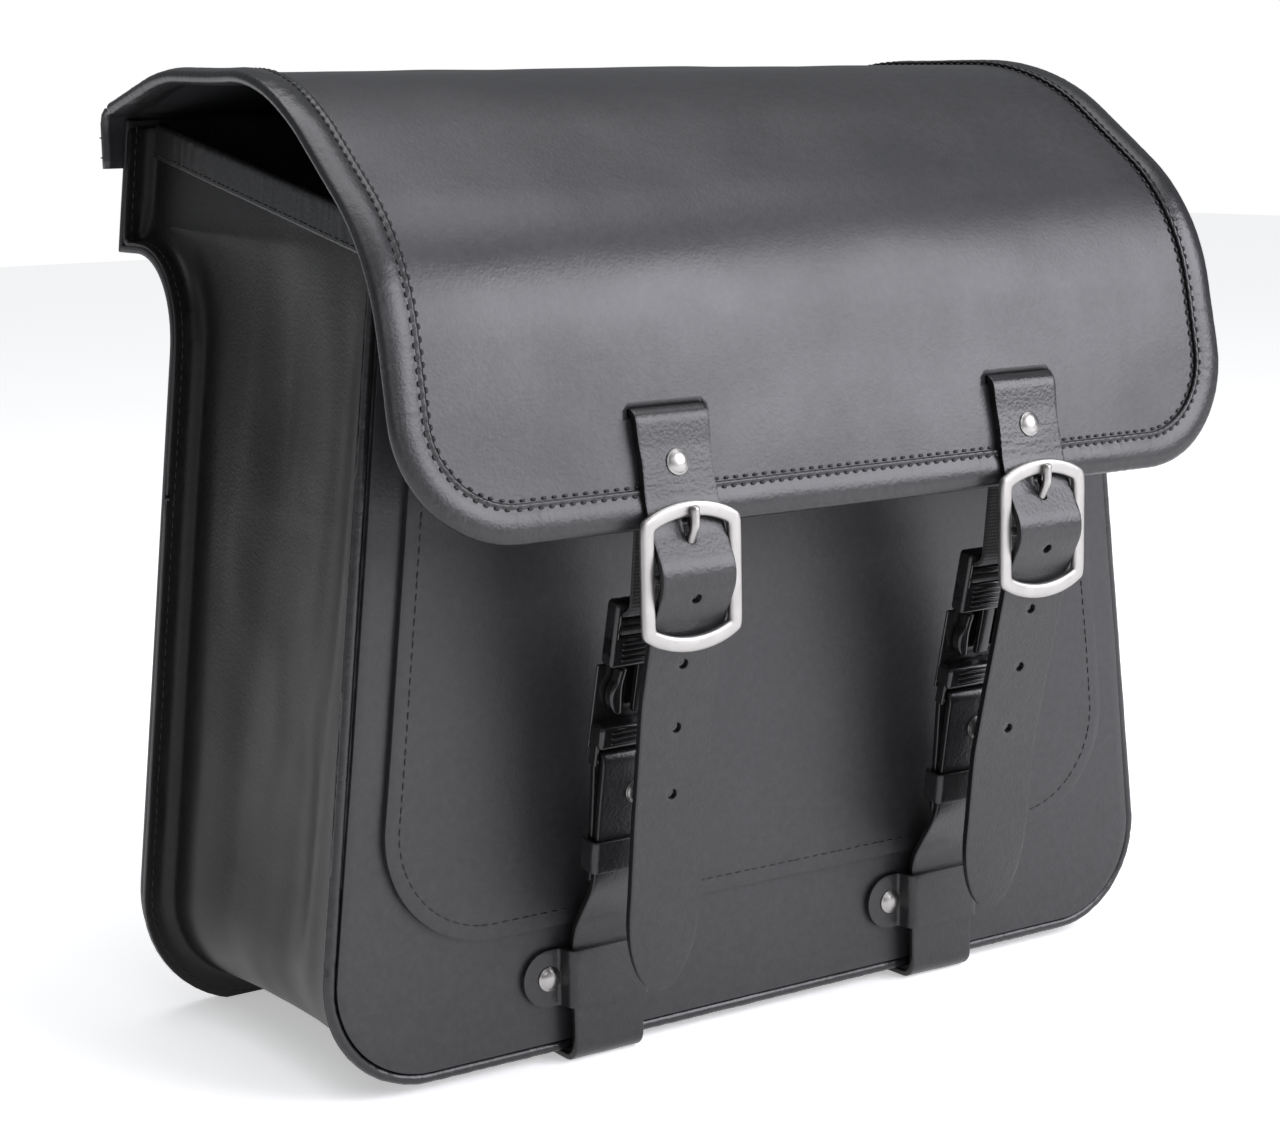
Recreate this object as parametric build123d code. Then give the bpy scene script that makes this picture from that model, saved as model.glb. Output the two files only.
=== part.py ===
from build123d import *
import os
from math import atan2, cos, degrees, radians, sin, sqrt

# Leather saddlebag for a motorcycle: a stiff gusseted bag with a wrap-over lid, closed by two
# straps on centre-bar buckles, each of which hangs on a plastic side-release clip.
# Millimetres. While it is modelled, X = 0 is the middle plane, y = 0 is the outer face of the
# front panel with +Y towards the motorcycle, and z = 0 is the middle of the bottom piping.
# At the end everything is moved so that the origin is at the bottom centre of the whole bag.

# ---- driving dimensions -------------------------------------------------------------------
LEATHER = 3.0               # panels, lid and gusset
STRAP_T = 2.8               # strap leather
STRAP_W = 35.0
STRAP_X = 92.6              # middle plane to the middle of each strap
GAP = 0.1                   # between layers that lie on each other in one body
MOVING_GAP = 0.45           # between pieces that move past each other

BASE_HALF = 225.75          # half width of the seam line at the bottom, before its corners
TAPER = 0.1125              # half width lost per millimetre of height
CORNER_R = 45.0             # bottom corners of the seam line
FRONT_H = 348.0             # front panel height
DEPTH = 170.0               # front face to back face
BACK_FLANGE = 9.0           # how far the back seam stands outside the seam line
REST_Z = -6.0               # what the bag stands on
PIPING_R = 2.5
GUSSET_IN = 4.0             # gusset's outer face inside the seam line
SEAM_W = 12.0               # turned-in seam allowance

NOTCH_Z = 292.0             # where the back starts to curve over the frame rail
NOTCH_R = 42.0
UPPER_BACK_RUN = 63.0       # from the back's outer face to the upper back panel's
UPPER_BACK_Y = DEPTH + UPPER_BACK_RUN
UPPER_BACK_TOP = 394.0
MOUTH_FRONT_Z = 349.5       # gusset's top edge at the front panel
MOUTH_BACK_Z = 390.5        # and at the back

OVERLAY_IN = 18.0           # pocket-shaped front overlay, inside the seam line
OVERLAY_Z = 55.0
OVERLAY_R = 50.0
OVERLAY_TOP = 332.0

HINGE_IN = 2.0              # lid hinge line, in front of the upper back's outer face
HINGE_Y = UPPER_BACK_Y - HINGE_IN
HINGE_Z = 396.5
LID_FRONT_HALF = 213.5
LID_BACK_HALF = 201.0
LID_CORNER_R = 48.0
LID_EDGE_Z = 234.0          # lower edge of the lid
LID_EDGE_Y = -65.5
LID_TOP = 412.5             # corners of the lid's middle surface, before they are rounded
LID_REAR_RUN = 71.0
LID_CREST_Y = 45.5
LID_BEND_Y = -43.5
LID_BEND_Z = 344.5
BINDING_W = 13.0
BINDING_T = 1.2

SLOT_UP = 44.0              # strap slot, measured up the lid's flap from its lower edge
RIVET_UP = 22.4
RIVET_CAP_R = 5.4
RIVET_R = 2.0

PIVOT = (-72.4, 229.5)      # (y, z) where the strap bends below the lid's edge
BUCKLE_Y = -75.0
BUCKLE_Z = 212.3
BUCKLE_WINDOW = STRAP_W + 1.0
BUCKLE_SIDE = 6.0           # width of its side bars
BUCKLE_END = 6.3            # and of its end bars, in the middle
BUCKLE_W = BUCKLE_WINDOW + 2 * BUCKLE_SIDE
BUCKLE_H = 61.0
BUCKLE_CROWN = 6.5          # how far its ends bow out
WINDOW_CROWN = 4.2
BUCKLE_T = 3.6
BAR_Y = -74.4
BAR_R = 1.9
TIP_Z = 34.0
TIP_LONG = 38.0
TIP_Y = {"left": -47.0, "right": -41.0}
HOLE_R = 2.2
HOLE_Z = (204.0, 176.0, 149.0, 120.0)
PRONG_R = 1.9
PRONG_SLOT = 5.0

CLIP_Y = -40.0              # the joint between the clip's two halves
CLIP_Z = 172.5
CLIP_LEAN = 13.9            # degrees, top forward
CLIP_W = STRAP_W + 5.0
CLIP_MALE = 28.5
CLIP_FEMALE = 44.5
CLIP_HOLLOW = 26.0
CLIP_BAR = 2.8              # height of the bar the lower strap folds round
CLIP_BAR_T = 2.8
FOLD_REACH = CLIP_BAR / 2 + STRAP_T / 2 + 1.0   # bar's middle to the middle of the strap round it
ARM_LONG = 22.0
ARM_X = 12.0
WEB_W = STRAP_W - 3.0
WEB_T = 2.4                 # two layers of webbing
WEB_OUT = -LEATHER - GAP - STRAP_T - GAP - WEB_T / 2   # from the lid's outer face
WEB_PIVOT_UP = 2.0          # where it bends, up from the lid's lower edge
WEB_TOP_UP = 32.0

FOLD_RIVET_Z = 117.0
FOLD_KEEPER_Z = 90.0
FOLD_LOW_Y = -22.6          # middle of the fold at its lower end
FOLD_LOW_Z = 78.0
FOLD_APART = 1.5            # and its layers' distance from that middle
FOLD_KEEPER_H = 14.0
KEEPER_T = 2.4
KEEPER_H = 25.0
KEEPER_Z = 32.0
KEEPER_RIVET_X = -STRAP_W / 2 - 8.7   # from the middle of the strap
KEEPER_SLOT_X = STRAP_W / 2 + 6.0
UNDER_RIVET_Y = 132.0       # strap end, riveted to the bottom of the gusset
LOWER_STRAP_Y = -7.0        # strap's middle where it passes under the keeper

MOUNT_X = 200.0             # hole spacing in the back panel
MOUNT_Z = 100.0
MOUNT_MID_Z = 165.0
MOUNT_R = 4.25
WASHER_R = 12.0
WASHER_T = 2.0
BOARD_T = 3.0

SIDES = {"left": -1, "right": 1}
FAR = 400.0                 # longer than anything here


# ---- shapes used all over -----------------------------------------------------------------
def seam_half(z, grow=0.0):
    """Half width at height z of the seam line grown outward by grow."""
    return BASE_HALF - TAPER * z + grow * sqrt(1 + TAPER**2)


def front_face(grow, top, floor=None, corner=None):
    """The bag's front outline, in XZ, grown outward; open at the top edge."""
    low = -grow if floor is None else floor
    radius = CORNER_R + grow if corner is None else corner
    ends = [(seam_half(top, grow), top), (seam_half(low, grow), low)]
    points = [(-x, z) for x, z in ends] + [(x, z) for x, z in reversed(ends)]
    face = make_face(Polyline(*points, close=True))
    return fillet(face.vertices().group_by(Axis.Y)[0], radius)


def deep(face, y0, y1):
    """An XZ face made solid from y0 back to y1."""
    return extrude(Plane.XZ.offset(-y1) * face, y1 - y0)


def across(face, x0, x1):
    """A YZ face made solid from x0 to x1."""
    return extrude(Plane.YZ.offset(x0) * face, x1 - x0)


def yz_face(*points):
    return make_face(Polyline(*points, close=True))


def band(points, radii, thick):
    """A strip of even thickness along a path whose corners are rounded."""
    path = FilletPolyline(*points, radius=radii) if radii else Polyline(*points)
    return trace(path, thick)


def slab(x0, x1, y0, y1, z0, z1):
    return Pos((x0 + x1) / 2, (y0 + y1) / 2, (z0 + z1) / 2) * Box(x1 - x0, y1 - y0, z1 - z0)


def rod(r, x, z, y0, y1):
    """A cylinder along Y."""
    return Pos(x, (y0 + y1) / 2, z) * Rot(90, 0, 0) * Cylinder(r, y1 - y0)


def rivet(length):
    """Dome-headed rivet: its head's underside at z = 0, its shank going down by length."""
    dome = 2.2
    round_r = (RIVET_CAP_R**2 + dome**2) / (2 * dome)
    head = Pos(0, 0, dome - round_r) * Sphere(round_r) & Pos(0, 0, dome / 2) * Cylinder(RIVET_CAP_R, dome)
    shank = Pos(0, 0, -length / 2) * Cylinder(RIVET_R, length)
    burr = Pos(0, 0, -length - 0.5) * Cylinder(RIVET_CAP_R - 0.6, 1.0)
    return head + shank + burr


# ---- bag shell ----------------------------------------------------------------------------
def inside_back(inset):
    """Everything in front of the back's outline, set in by inset, as a YZ face."""
    low = (DEPTH - inset, NOTCH_Z)
    step = (DEPTH + NOTCH_R, NOTCH_Z + NOTCH_R + inset)
    diagonal = (NOTCH_R + inset) * sqrt(0.5)
    middle = (DEPTH + NOTCH_R - diagonal, NOTCH_Z + diagonal)
    rear = UPPER_BACK_Y - inset
    outline = [
        Polyline((-FAR, -FAR), (DEPTH - inset, -FAR), low),
        ThreePointArc(low, middle, step),
        Polyline(step, (rear, step[1]), (rear, 2 * FAR), (-FAR, 2 * FAR), (-FAR, -FAR)),
    ]
    return make_face(outline)


def mouth_cut(drop=0.0):
    """Everything under the sloping mouth, lowered by drop."""
    return yz_face(
        (-FAR, MOUTH_FRONT_Z - drop - FAR * mouth_slope),
        (-FAR, -FAR),
        (FAR, -FAR),
        (FAR, MOUTH_FRONT_Z - drop + FAR * mouth_slope),
    )


mouth_slope = (MOUTH_BACK_Z - MOUTH_FRONT_Z) / (UPPER_BACK_Y - 2 * LEATHER)
tail_y = LEATHER + BINDING_T              # back of the piping's sewn-in tail
top_all = UPPER_BACK_TOP + 20


def make_front_panel():
    panel = deep(front_face(-PIPING_R - GAP, FRONT_H), 0, LEATHER)
    for side in SIDES.values():
        x = side * STRAP_X
        slot_x = x + KEEPER_SLOT_X
        panel -= slab(slot_x - 1.6, slot_x + 1.6, -1, LEATHER + 1, KEEPER_Z - 13, KEEPER_Z + 13)
        panel -= rod(RIVET_R + GAP, x + KEEPER_RIVET_X, KEEPER_Z, -1, LEATHER + 1)
    return panel


def make_front_overlay():
    face = front_face(-OVERLAY_IN, OVERLAY_TOP, OVERLAY_Z, OVERLAY_R)
    return deep(face, -LEATHER, 0)


def make_front_piping():
    path = FilletPolyline(
        (-seam_half(FRONT_H), FRONT_H),
        (-seam_half(0), 0),
        (seam_half(0), 0),
        (seam_half(FRONT_H), FRONT_H),
        radius=CORNER_R,
    )
    path = Plane.XZ.offset(-PIPING_R) * path
    bead = sweep(Plane(origin=path @ 0, z_dir=path % 0) * Circle(PIPING_R), path)
    tail = front_face(-1, FRONT_H - 1) - front_face(-SEAM_W, FRONT_H + 1)
    return bead + deep(tail, LEATHER + GAP / 2, tail_y)


def make_gusset():
    wall = front_face(-GUSSET_IN, top_all) - front_face(-GUSSET_IN - LEATHER, top_all + 1)
    shell = deep(wall, tail_y, FAR)
    turned = front_face(-GUSSET_IN, top_all) - front_face(-GUSSET_IN - SEAM_W, top_all + 1)
    shell += deep(turned, tail_y, tail_y + LEATHER)
    shell &= across(inside_back(2 * LEATHER), -FAR, FAR)
    seam = front_face(BACK_FLANGE, top_all, REST_Z) - front_face(-GUSSET_IN - LEATHER, top_all + 1)
    flange = deep(seam, 50, FAR) & across(inside_back(LEATHER) - inside_back(2 * LEATHER), -FAR, FAR)
    gusset = (shell + flange) & across(mouth_cut(), -FAR, FAR)
    for side in SIDES.values():
        hole = Pos(side * STRAP_X, UNDER_RIVET_Y, 0) * Cylinder(RIVET_R + GAP, 40)
        gusset -= hole
    return gusset


def mount_places():
    for x in (-MOUNT_X / 2, MOUNT_X / 2):
        for z in (-MOUNT_Z / 2, MOUNT_Z / 2):
            yield x, MOUNT_MID_Z + z


def back_sheet():
    outline = front_face(BACK_FLANGE, UPPER_BACK_TOP, REST_Z)
    sheet = inside_back(0) - inside_back(LEATHER)
    return deep(outline, 50, FAR) & across(sheet, -FAR, FAR)


def make_back_panel():
    seam_y = UPPER_BACK_Y - LEATHER
    panel = back_sheet() & slab(-FAR, FAR, 50, seam_y, -FAR, FAR)
    for x, z in mount_places():
        panel -= rod(MOUNT_R, x, z, DEPTH - 10, DEPTH + 10)
    return panel


def make_back_upper_panel():
    seam_y = UPPER_BACK_Y - LEATHER
    return back_sheet() & slab(-FAR, FAR, seam_y, FAR, 0, FAR + 100)


def make_backing_board():
    front = DEPTH - LEATHER - BOARD_T
    face = front_face(-GUSSET_IN - LEATHER - 6, NOTCH_Z - 20)
    board = deep(face, front, DEPTH - LEATHER)
    for x, z in mount_places():
        board -= rod(MOUNT_R, x, z, front - 1, DEPTH)
    return board


def make_mount_washers():
    back = DEPTH - LEATHER - BOARD_T
    washers = []
    for x, z in mount_places():
        washers.append(rod(WASHER_R, x, z, back - WASHER_T, back) - rod(MOUNT_R, x, z, back - 9, back + 9))
    return washers


def make_mouth_binding(side, gusset):
    """A strip folded over the gusset's sloping top edge."""
    grow = BINDING_T - GUSSET_IN
    wall = front_face(grow, top_all) - front_face(grow - LEATHER - 2 * BINDING_T, top_all + 1)
    strip = mouth_cut(-BINDING_T) - mouth_cut(BINDING_W)
    folded = deep(wall, tail_y + LEATHER + GAP, FAR) & across(strip, -FAR, FAR)
    folded &= across(inside_back(2 * LEATHER + GAP), -FAR, FAR)
    folded &= slab(0, FAR, -50, FAR, 0, 2 * FAR) if side > 0 else slab(-FAR, 0, -50, FAR, 0, 2 * FAR)
    return folded - gusset


def make_mouth_binding_front(panel):
    half = seam_half(FRONT_H, -PIPING_R) - SEAM_W - 4
    strip = slab(-half, half, -BINDING_T, LEATHER + BINDING_T, FRONT_H - BINDING_W, FRONT_H + BINDING_T)
    return strip - panel


def make_hinge_strip():
    """The strip behind which lid and back are sewn together."""
    half = seam_half(UPPER_BACK_TOP, -GUSSET_IN - LEATHER) - 4
    front = UPPER_BACK_Y - LEATHER - 2
    return slab(-half, half, front, UPPER_BACK_Y - LEATHER, UPPER_BACK_TOP - 24, UPPER_BACK_TOP - 1)


# ---- lid ----------------------------------------------------------------------------------
lid_path = [
    (HINGE_Y, HINGE_Z),
    (HINGE_Y - LID_REAR_RUN, LID_TOP),
    (LID_CREST_Y, LID_TOP - 2),
    (LID_BEND_Y, LID_BEND_Z),
    (LID_EDGE_Y, LID_EDGE_Z),
]
lid_radii = [150, 120, 90]

flap_run = (lid_path[4][0] - lid_path[3][0], lid_path[4][1] - lid_path[3][1])
flap_long = sqrt(flap_run[0] ** 2 + flap_run[1] ** 2)
flap_down = (flap_run[0] / flap_long, flap_run[1] / flap_long)
flap_out = (flap_down[1], -flap_down[0])


def on_flap(up, out):
    """(y, z) of a point up the lid's front flap and out from its outer face."""
    out_mid = out + LEATHER / 2
    return (
        LID_EDGE_Y - flap_down[0] * up + flap_out[0] * out_mid,
        LID_EDGE_Z - flap_down[1] * up + flap_out[1] * out_mid,
    )


def flap_plane(x, up, out):
    """Local Z points out of the flap, local Y up it."""
    y, z = on_flap(up, out)
    return Plane(origin=(x, y, z), x_dir=(1, 0, 0), z_dir=(0, flap_out[0], flap_out[1]))


def lid_plan(grow):
    """What the lid covers, seen from the front and from above, grown by grow."""
    half = LID_FRONT_HALF + grow
    low = LID_EDGE_Z - grow
    face = make_face(Polyline((-half, FAR + 100), (-half, low), (half, low), (half, FAR + 100), close=True))
    face = fillet(face.vertices().group_by(Axis.Y)[0], LID_CORNER_R + grow)
    back = LID_BACK_HALF + grow
    spread = (LID_FRONT_HALF - LID_BACK_HALF) / (HINGE_Y - LID_EDGE_Y)
    near = half + 60 * spread
    far = back - 20 * spread
    y_near = LID_EDGE_Y - 60
    y_far = HINGE_Y + 20
    top = make_face(Polyline((-near, y_near), (near, y_near), (far, y_far), (-far, y_far), close=True))
    return deep(face, -FAR, FAR) & extrude(top, 2 * FAR)


def lid_band(thick):
    return across(band(lid_path, lid_radii, thick), -FAR, FAR)


def make_lid():
    rear_edge = Pos(0, HINGE_Y, HINGE_Z) * Rot(0, 90, 0) * Cylinder(LEATHER / 2, 2 * FAR)
    lid = (lid_band(LEATHER) + rear_edge) & lid_plan(0)
    for side in SIDES.values():
        x = side * STRAP_X
        place = flap_plane(x, SLOT_UP, -LEATHER / 2)
        lid -= place * Box(STRAP_W + 1, STRAP_T + 2 * GAP, 4 * LEATHER)
        lid -= flap_plane(x, RIVET_UP, -LEATHER / 2) * Cylinder(RIVET_R + GAP, 4 * LEATHER)
    return lid


def make_lid_binding(lid):
    edge = lid_plan(BINDING_T) - lid_plan(-BINDING_W)
    folded = lid_band(LEATHER + 2 * BINDING_T) & edge & slab(-FAR, FAR, -FAR, HINGE_Y - 5, 0, 2 * FAR)
    solid = lid_band(LEATHER) & lid_plan(0)
    return folded - solid


# ---- straps on the lid --------------------------------------------------------------------
def make_strap_anchor(x):
    """The strap's upper end: out of the slot, riveted, down to where it bends."""
    out = BINDING_T + GAP + STRAP_T / 2
    inner = -LEATHER - GAP - STRAP_T / 2
    run = (PIVOT[0] - on_flap(8, out)[0], PIVOT[1] - on_flap(8, out)[1])
    run_long = sqrt(run[0] ** 2 + run[1] ** 2)
    clear = (STRAP_T / 2 + MOVING_GAP) / run_long
    end = (PIVOT[0] - run[0] * clear, PIVOT[1] - run[1] * clear)
    path = [end, on_flap(8, out), on_flap(SLOT_UP, out), on_flap(SLOT_UP, inner), on_flap(BINDING_W + 3, inner)]
    strap = across(band(path, None, STRAP_T), x - STRAP_W / 2, x + STRAP_W / 2)
    strap -= flap_plane(x, RIVET_UP, 0) * Cylinder(RIVET_R + GAP, 30)
    strap -= slab(x - PRONG_SLOT / 2, x + PRONG_SLOT / 2, -90, -60, PIVOT[1] - 5, LID_EDGE_Z + 6)
    return strap


def make_lid_rivets():
    out = BINDING_T + GAP + STRAP_T
    deep_end = out + LEATHER + GAP + STRAP_T + GAP + WEB_T
    return [flap_plane(side * STRAP_X, RIVET_UP, out) * rivet(deep_end) for side in SIDES.values()]


def make_strap_tail(side, x):
    """Over the buckle's centre bar, behind its lower bar and down to the tip."""
    over_bar = BAR_Y - BAR_R - 2.4 - STRAP_T / 2
    behind = BUCKLE_Y + BUCKLE_T / 2 + GAP + STRAP_T / 2
    path = [
        PIVOT,
        (over_bar, BUCKLE_Z + 5),
        (over_bar, BUCKLE_Z - 4),
        (behind, BUCKLE_Z - 19),
        (-63.0, 160.0),
        (TIP_Y[side] - 9, 110.0),
        (TIP_Y[side], TIP_Z - 2),
    ]
    strip = across(band(path, [8, 10, 14, 60, 90], STRAP_T), x - STRAP_W / 2, x + STRAP_W / 2)
    middle = TIP_Z + TIP_LONG
    shape = Pos(x, (FAR + middle) / 2) * Rectangle(STRAP_W, FAR - middle) + Pos(x, middle) * Ellipse(STRAP_W / 2, TIP_LONG)
    strip &= deep(shape, -FAR, FAR)
    strip += Pos(x, *PIVOT) * Rot(0, 90, 0) * Cylinder(STRAP_T / 2, STRAP_W)
    for z in HOLE_Z:
        strip -= rod(HOLE_R, x, z, -FAR, 0)
    strip -= slab(x - PRONG_SLOT / 2, x + PRONG_SLOT / 2, -100, -50, BUCKLE_Z + 5.5, PIVOT[1] + 5)
    return strip


def buckle_outline(width, height, crown, corner):
    """A rectangle with gently crowned ends and rounded corners."""
    w = width / 2
    h = height / 2 - crown
    ring = [
        Line((w, -h), (w, h)),
        ThreePointArc((w, h), (0, h + crown), (-w, h)),
        Line((-w, h), (-w, -h)),
        ThreePointArc((-w, -h), (0, -h - crown), (w, -h)),
    ]
    face = make_face(ring)
    return fillet(face.vertices(), corner)


def make_buckle_frame(x):
    outer = buckle_outline(BUCKLE_W, BUCKLE_H, BUCKLE_CROWN, 3.0)
    window = buckle_outline(BUCKLE_WINDOW, BUCKLE_H - 2 * BUCKLE_END, WINDOW_CROWN, 1.2)
    ring = deep(outer - window, -BUCKLE_T / 2, BUCKLE_T / 2)
    ring = chamfer(ring.edges().filter_by(Plane.XZ).group_by(Axis.Y)[0], 0.9)
    ring = Pos(x, BUCKLE_Y, BUCKLE_Z) * ring
    bar = Pos(x, BAR_Y, BUCKLE_Z) * Rot(0, 90, 0) * Cylinder(BAR_R, BUCKLE_W - BUCKLE_SIDE)
    return ring + bar


def make_prong(x):
    """Looped on the centre bar, through the strap's hole, its tip on the top bar."""
    front = BUCKLE_Y - BUCKLE_T / 2 - PRONG_R - GAP
    top = BUCKLE_Z + BUCKLE_H / 2
    path = [
        (BAR_Y + 1.9, BUCKLE_Z + 1.5),
        (BAR_Y + 2.6, BUCKLE_Z + 9),
        (front, top - 8.0),
        (front, top - 1.0),
    ]
    pin = across(band(path, [4, 4], 2 * PRONG_R), x - PRONG_R, x + PRONG_R)
    loop_at = Pos(x, BAR_Y, BUCKLE_Z) * Rot(0, 90, 0)
    prong = pin + loop_at * Cylinder(BAR_R + 1.6, 2 * PRONG_R)
    return prong - loop_at * Cylinder(BAR_R + 0.2, 20)


# ---- side-release clips -------------------------------------------------------------------
clip_up = (-sin(radians(CLIP_LEAN)), cos(radians(CLIP_LEAN)))
clip_out = (-clip_up[1], clip_up[0])


def on_clip(up, out):
    return (
        CLIP_Y + clip_up[0] * up + clip_out[0] * out,
        CLIP_Z + clip_up[1] * up + clip_out[1] * out,
    )


def clip_plane(x):
    """Local Y runs up the clip, local Z out of its face."""
    return Plane(origin=(x, CLIP_Y, CLIP_Z), x_dir=(1, 0, 0), z_dir=(0, clip_out[0], clip_out[1]))


slider_slots = (CLIP_MALE - 5.2, CLIP_MALE - 12.5)


def make_webbing_anchor(x):
    """The webbing's sewn-in end, flat behind the strap's, under the same rivet."""
    clear = WEB_T / 2 + MOVING_GAP
    path = [on_flap(WEB_PIVOT_UP + clear, WEB_OUT), on_flap(WEB_TOP_UP, WEB_OUT)]
    anchor = across(band(path, None, WEB_T), x - WEB_W / 2, x + WEB_W / 2)
    return anchor - flap_plane(x, RIVET_UP, WEB_OUT) * Cylinder(RIVET_R + GAP, 10)


def make_webbing_tab(x):
    """Webbing hung from under the lid's edge, threaded through the clip's slider."""
    pivot = on_flap(WEB_PIVOT_UP, WEB_OUT)
    upper, lower = slider_slots
    path = [
        pivot,
        on_clip(upper, 9),
        on_clip(upper, -5.5),
        on_clip(lower, -5.5),
        on_clip(lower, 6),
    ]
    tab = across(band(path, None, WEB_T), x - WEB_W / 2, x + WEB_W / 2)
    return tab + Pos(x, *pivot) * Rot(0, 90, 0) * Cylinder(WEB_T / 2, WEB_W)


def make_male_clip(x):
    body = Pos(0, CLIP_MALE / 2 + 0.2, 0) * Box(CLIP_W - 2, CLIP_MALE, 8)
    body = fillet(body.edges().filter_by(Axis.Z), 3)
    for up in slider_slots:
        body -= Pos(0, up, 0) * Box(WEB_W + 1.5, WEB_T + 1, 20)
    guide = Pos(0, 2.5 - CLIP_HOLLOW / 2, 0) * Box(7, CLIP_HOLLOW - 3, 3)
    return clip_plane(x) * (body + guide)


def arm_pivot(x, hand):
    y, z = on_clip(-2.6, 0)
    return (x + hand * (ARM_X - 1), y, z)


def make_clip_arm(x, hand):
    """A sprung arm of the male half; its catch shows in the side of the clip."""
    root = ARM_X - 1
    outline = [
        (root - 2, -2.6),
        (root - 1, -ARM_LONG),
        (root + 3.5, -ARM_LONG),
        (CLIP_W / 2 - 1, -ARM_LONG + 5),
        (CLIP_W / 2 - 1, -10),
        (root + 3, -8.5),
        (root + 2, -2.6),
    ]
    face = make_face(Polyline(*outline, close=True)) + Pos(root, -2.6) * Circle(2)
    arm = extrude(Pos(0, 0, -3) * face, 6)
    if hand < 0:
        arm = mirror(arm, Plane.YZ)
    return clip_plane(x) * arm


def make_female_clip(x):
    """The half on the bag. Its tray is open in front, so that the other half can lift out."""
    low = -CLIP_FEMALE
    block = Pos(0, (low - CLIP_HOLLOW) / 2, 0) * Box(CLIP_W, CLIP_FEMALE - CLIP_HOLLOW, 10)
    floor = Pos(0, low / 2 - 0.4, -4.3) * Box(CLIP_W, CLIP_FEMALE - 0.8, 1.4)
    body = fillet(block.edges().filter_by(Axis.Z).group_by(Axis.Y)[0], 4) + floor
    slot_top = low + CLIP_BAR + 5.2
    body -= Pos(0, (low + CLIP_BAR + slot_top) / 2, 0) * Box(STRAP_W + 1.5, slot_top - low - CLIP_BAR, 40)
    for face in (-1, 1):
        body -= Pos(0, low, face * (CLIP_BAR_T / 2 + 4)) * Box(CLIP_W, 2 * (slot_top - low), 8)
    return clip_plane(x) * body


# ---- lower straps -------------------------------------------------------------------------
def make_lower_strap(x):
    """Folded round the clip's bar, down under the keeper and below the bag."""
    under = REST_Z + STRAP_T / 2
    on_bottom = GUSSET_IN - GAP - STRAP_T / 2
    over_bar = fold_turn(0)
    front = [
        over_bar,
        fold_turn(FOLD_REACH),
        (FOLD_LOW_Y - FOLD_APART, FOLD_LOW_Z),
        (LOWER_STRAP_Y, KEEPER_Z + 20),
        (LOWER_STRAP_Y, under),
        (70, under),
        (95, on_bottom),
        (UNDER_RIVET_Y + 13, on_bottom),
    ]
    folded = [over_bar, fold_turn(-FOLD_REACH), (FOLD_LOW_Y + FOLD_APART, FOLD_LOW_Z)]
    profile = band(front, [3.2, 30, 26, 6, 40, 40], STRAP_T) + band(folded, [3.2], STRAP_T)
    strap = across(profile, x - STRAP_W / 2, x + STRAP_W / 2)
    strap -= fold_rivet_place(x) * Cylinder(RIVET_R + GAP, 40)
    return strap - Pos(x, UNDER_RIVET_Y, 0) * Cylinder(RIVET_R + GAP, 40)


def fold_turn(out):
    """A point level with the top of the fold, out from the middle of the clip's bar."""
    return on_clip(-CLIP_FEMALE + CLIP_BAR / 2 + FOLD_REACH, out)


def fold_layers(z):
    """The y of the fold's middle at height z, and half the distance between its layers."""
    top_y, top_z = fold_turn(0)
    share = (z - FOLD_LOW_Z) / (top_z - FOLD_LOW_Z)
    middle = FOLD_LOW_Y + share * (top_y - FOLD_LOW_Y)
    return middle, FOLD_APART + share * (FOLD_REACH - FOLD_APART)


def fold_lean():
    rise = FOLD_RIVET_Z - FOLD_KEEPER_Z
    return degrees(atan2(fold_layers(FOLD_KEEPER_Z)[0] - fold_layers(FOLD_RIVET_Z)[0], rise))


def fold_rivet_place(x):
    return Pos(x, fold_layers(FOLD_RIVET_Z)[0], FOLD_RIVET_Z) * Rot(90 + fold_lean(), 0, 0)


def make_fold_keeper(x):
    """A leather loop round both layers of the folded strap."""
    wide = STRAP_W / 2 + 0.4
    middle, apart = fold_layers(FOLD_KEEPER_Z)
    half = apart + STRAP_T / 2 + 0.5
    thick = 2.0
    outer = RectangleRounded(2 * (wide + thick), 2 * (half + thick), 1.9)
    loop = extrude(outer - Rectangle(2 * wide, 2 * half), FOLD_KEEPER_H)
    return Pos(x, middle, FOLD_KEEPER_Z) * Rot(fold_lean(), 0, 0) * Pos(0, 0, -FOLD_KEEPER_H / 2) * loop


def make_lower_keeper(x):
    """Riveted at its round end, over the strap, through the panel and back inside."""
    over = LOWER_STRAP_Y - STRAP_T / 2 - GAP - KEEPER_T / 2
    flat = -KEEPER_T / 2 - GAP
    inside = LEATHER + BINDING_T + KEEPER_T / 2
    left = KEEPER_RIVET_X - KEEPER_H / 2
    edge = STRAP_W / 2 + KEEPER_T / 2 + GAP
    path = [
        (x + left, flat),
        (x - edge - 0.5, flat),
        (x - edge, over),
        (x + edge, over),
        (x + edge + 0.5, flat),
        (x + KEEPER_SLOT_X, flat),
        (x + KEEPER_SLOT_X, inside),
        (x + left + 3, inside),
    ]
    strip = extrude(Pos(0, 0, KEEPER_Z - KEEPER_H / 2) * trace(Polyline(*path), KEEPER_T), KEEPER_H)
    round_end = Pos(x + KEEPER_RIVET_X, KEEPER_Z) * Circle(KEEPER_H / 2)
    rest = Pos(x + KEEPER_RIVET_X + 40, KEEPER_Z) * Rectangle(80, KEEPER_H)
    strip &= deep(round_end + rest, -50, 50)
    return strip - rod(RIVET_R + GAP, x + KEEPER_RIVET_X, KEEPER_Z, -50, 50)


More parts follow.
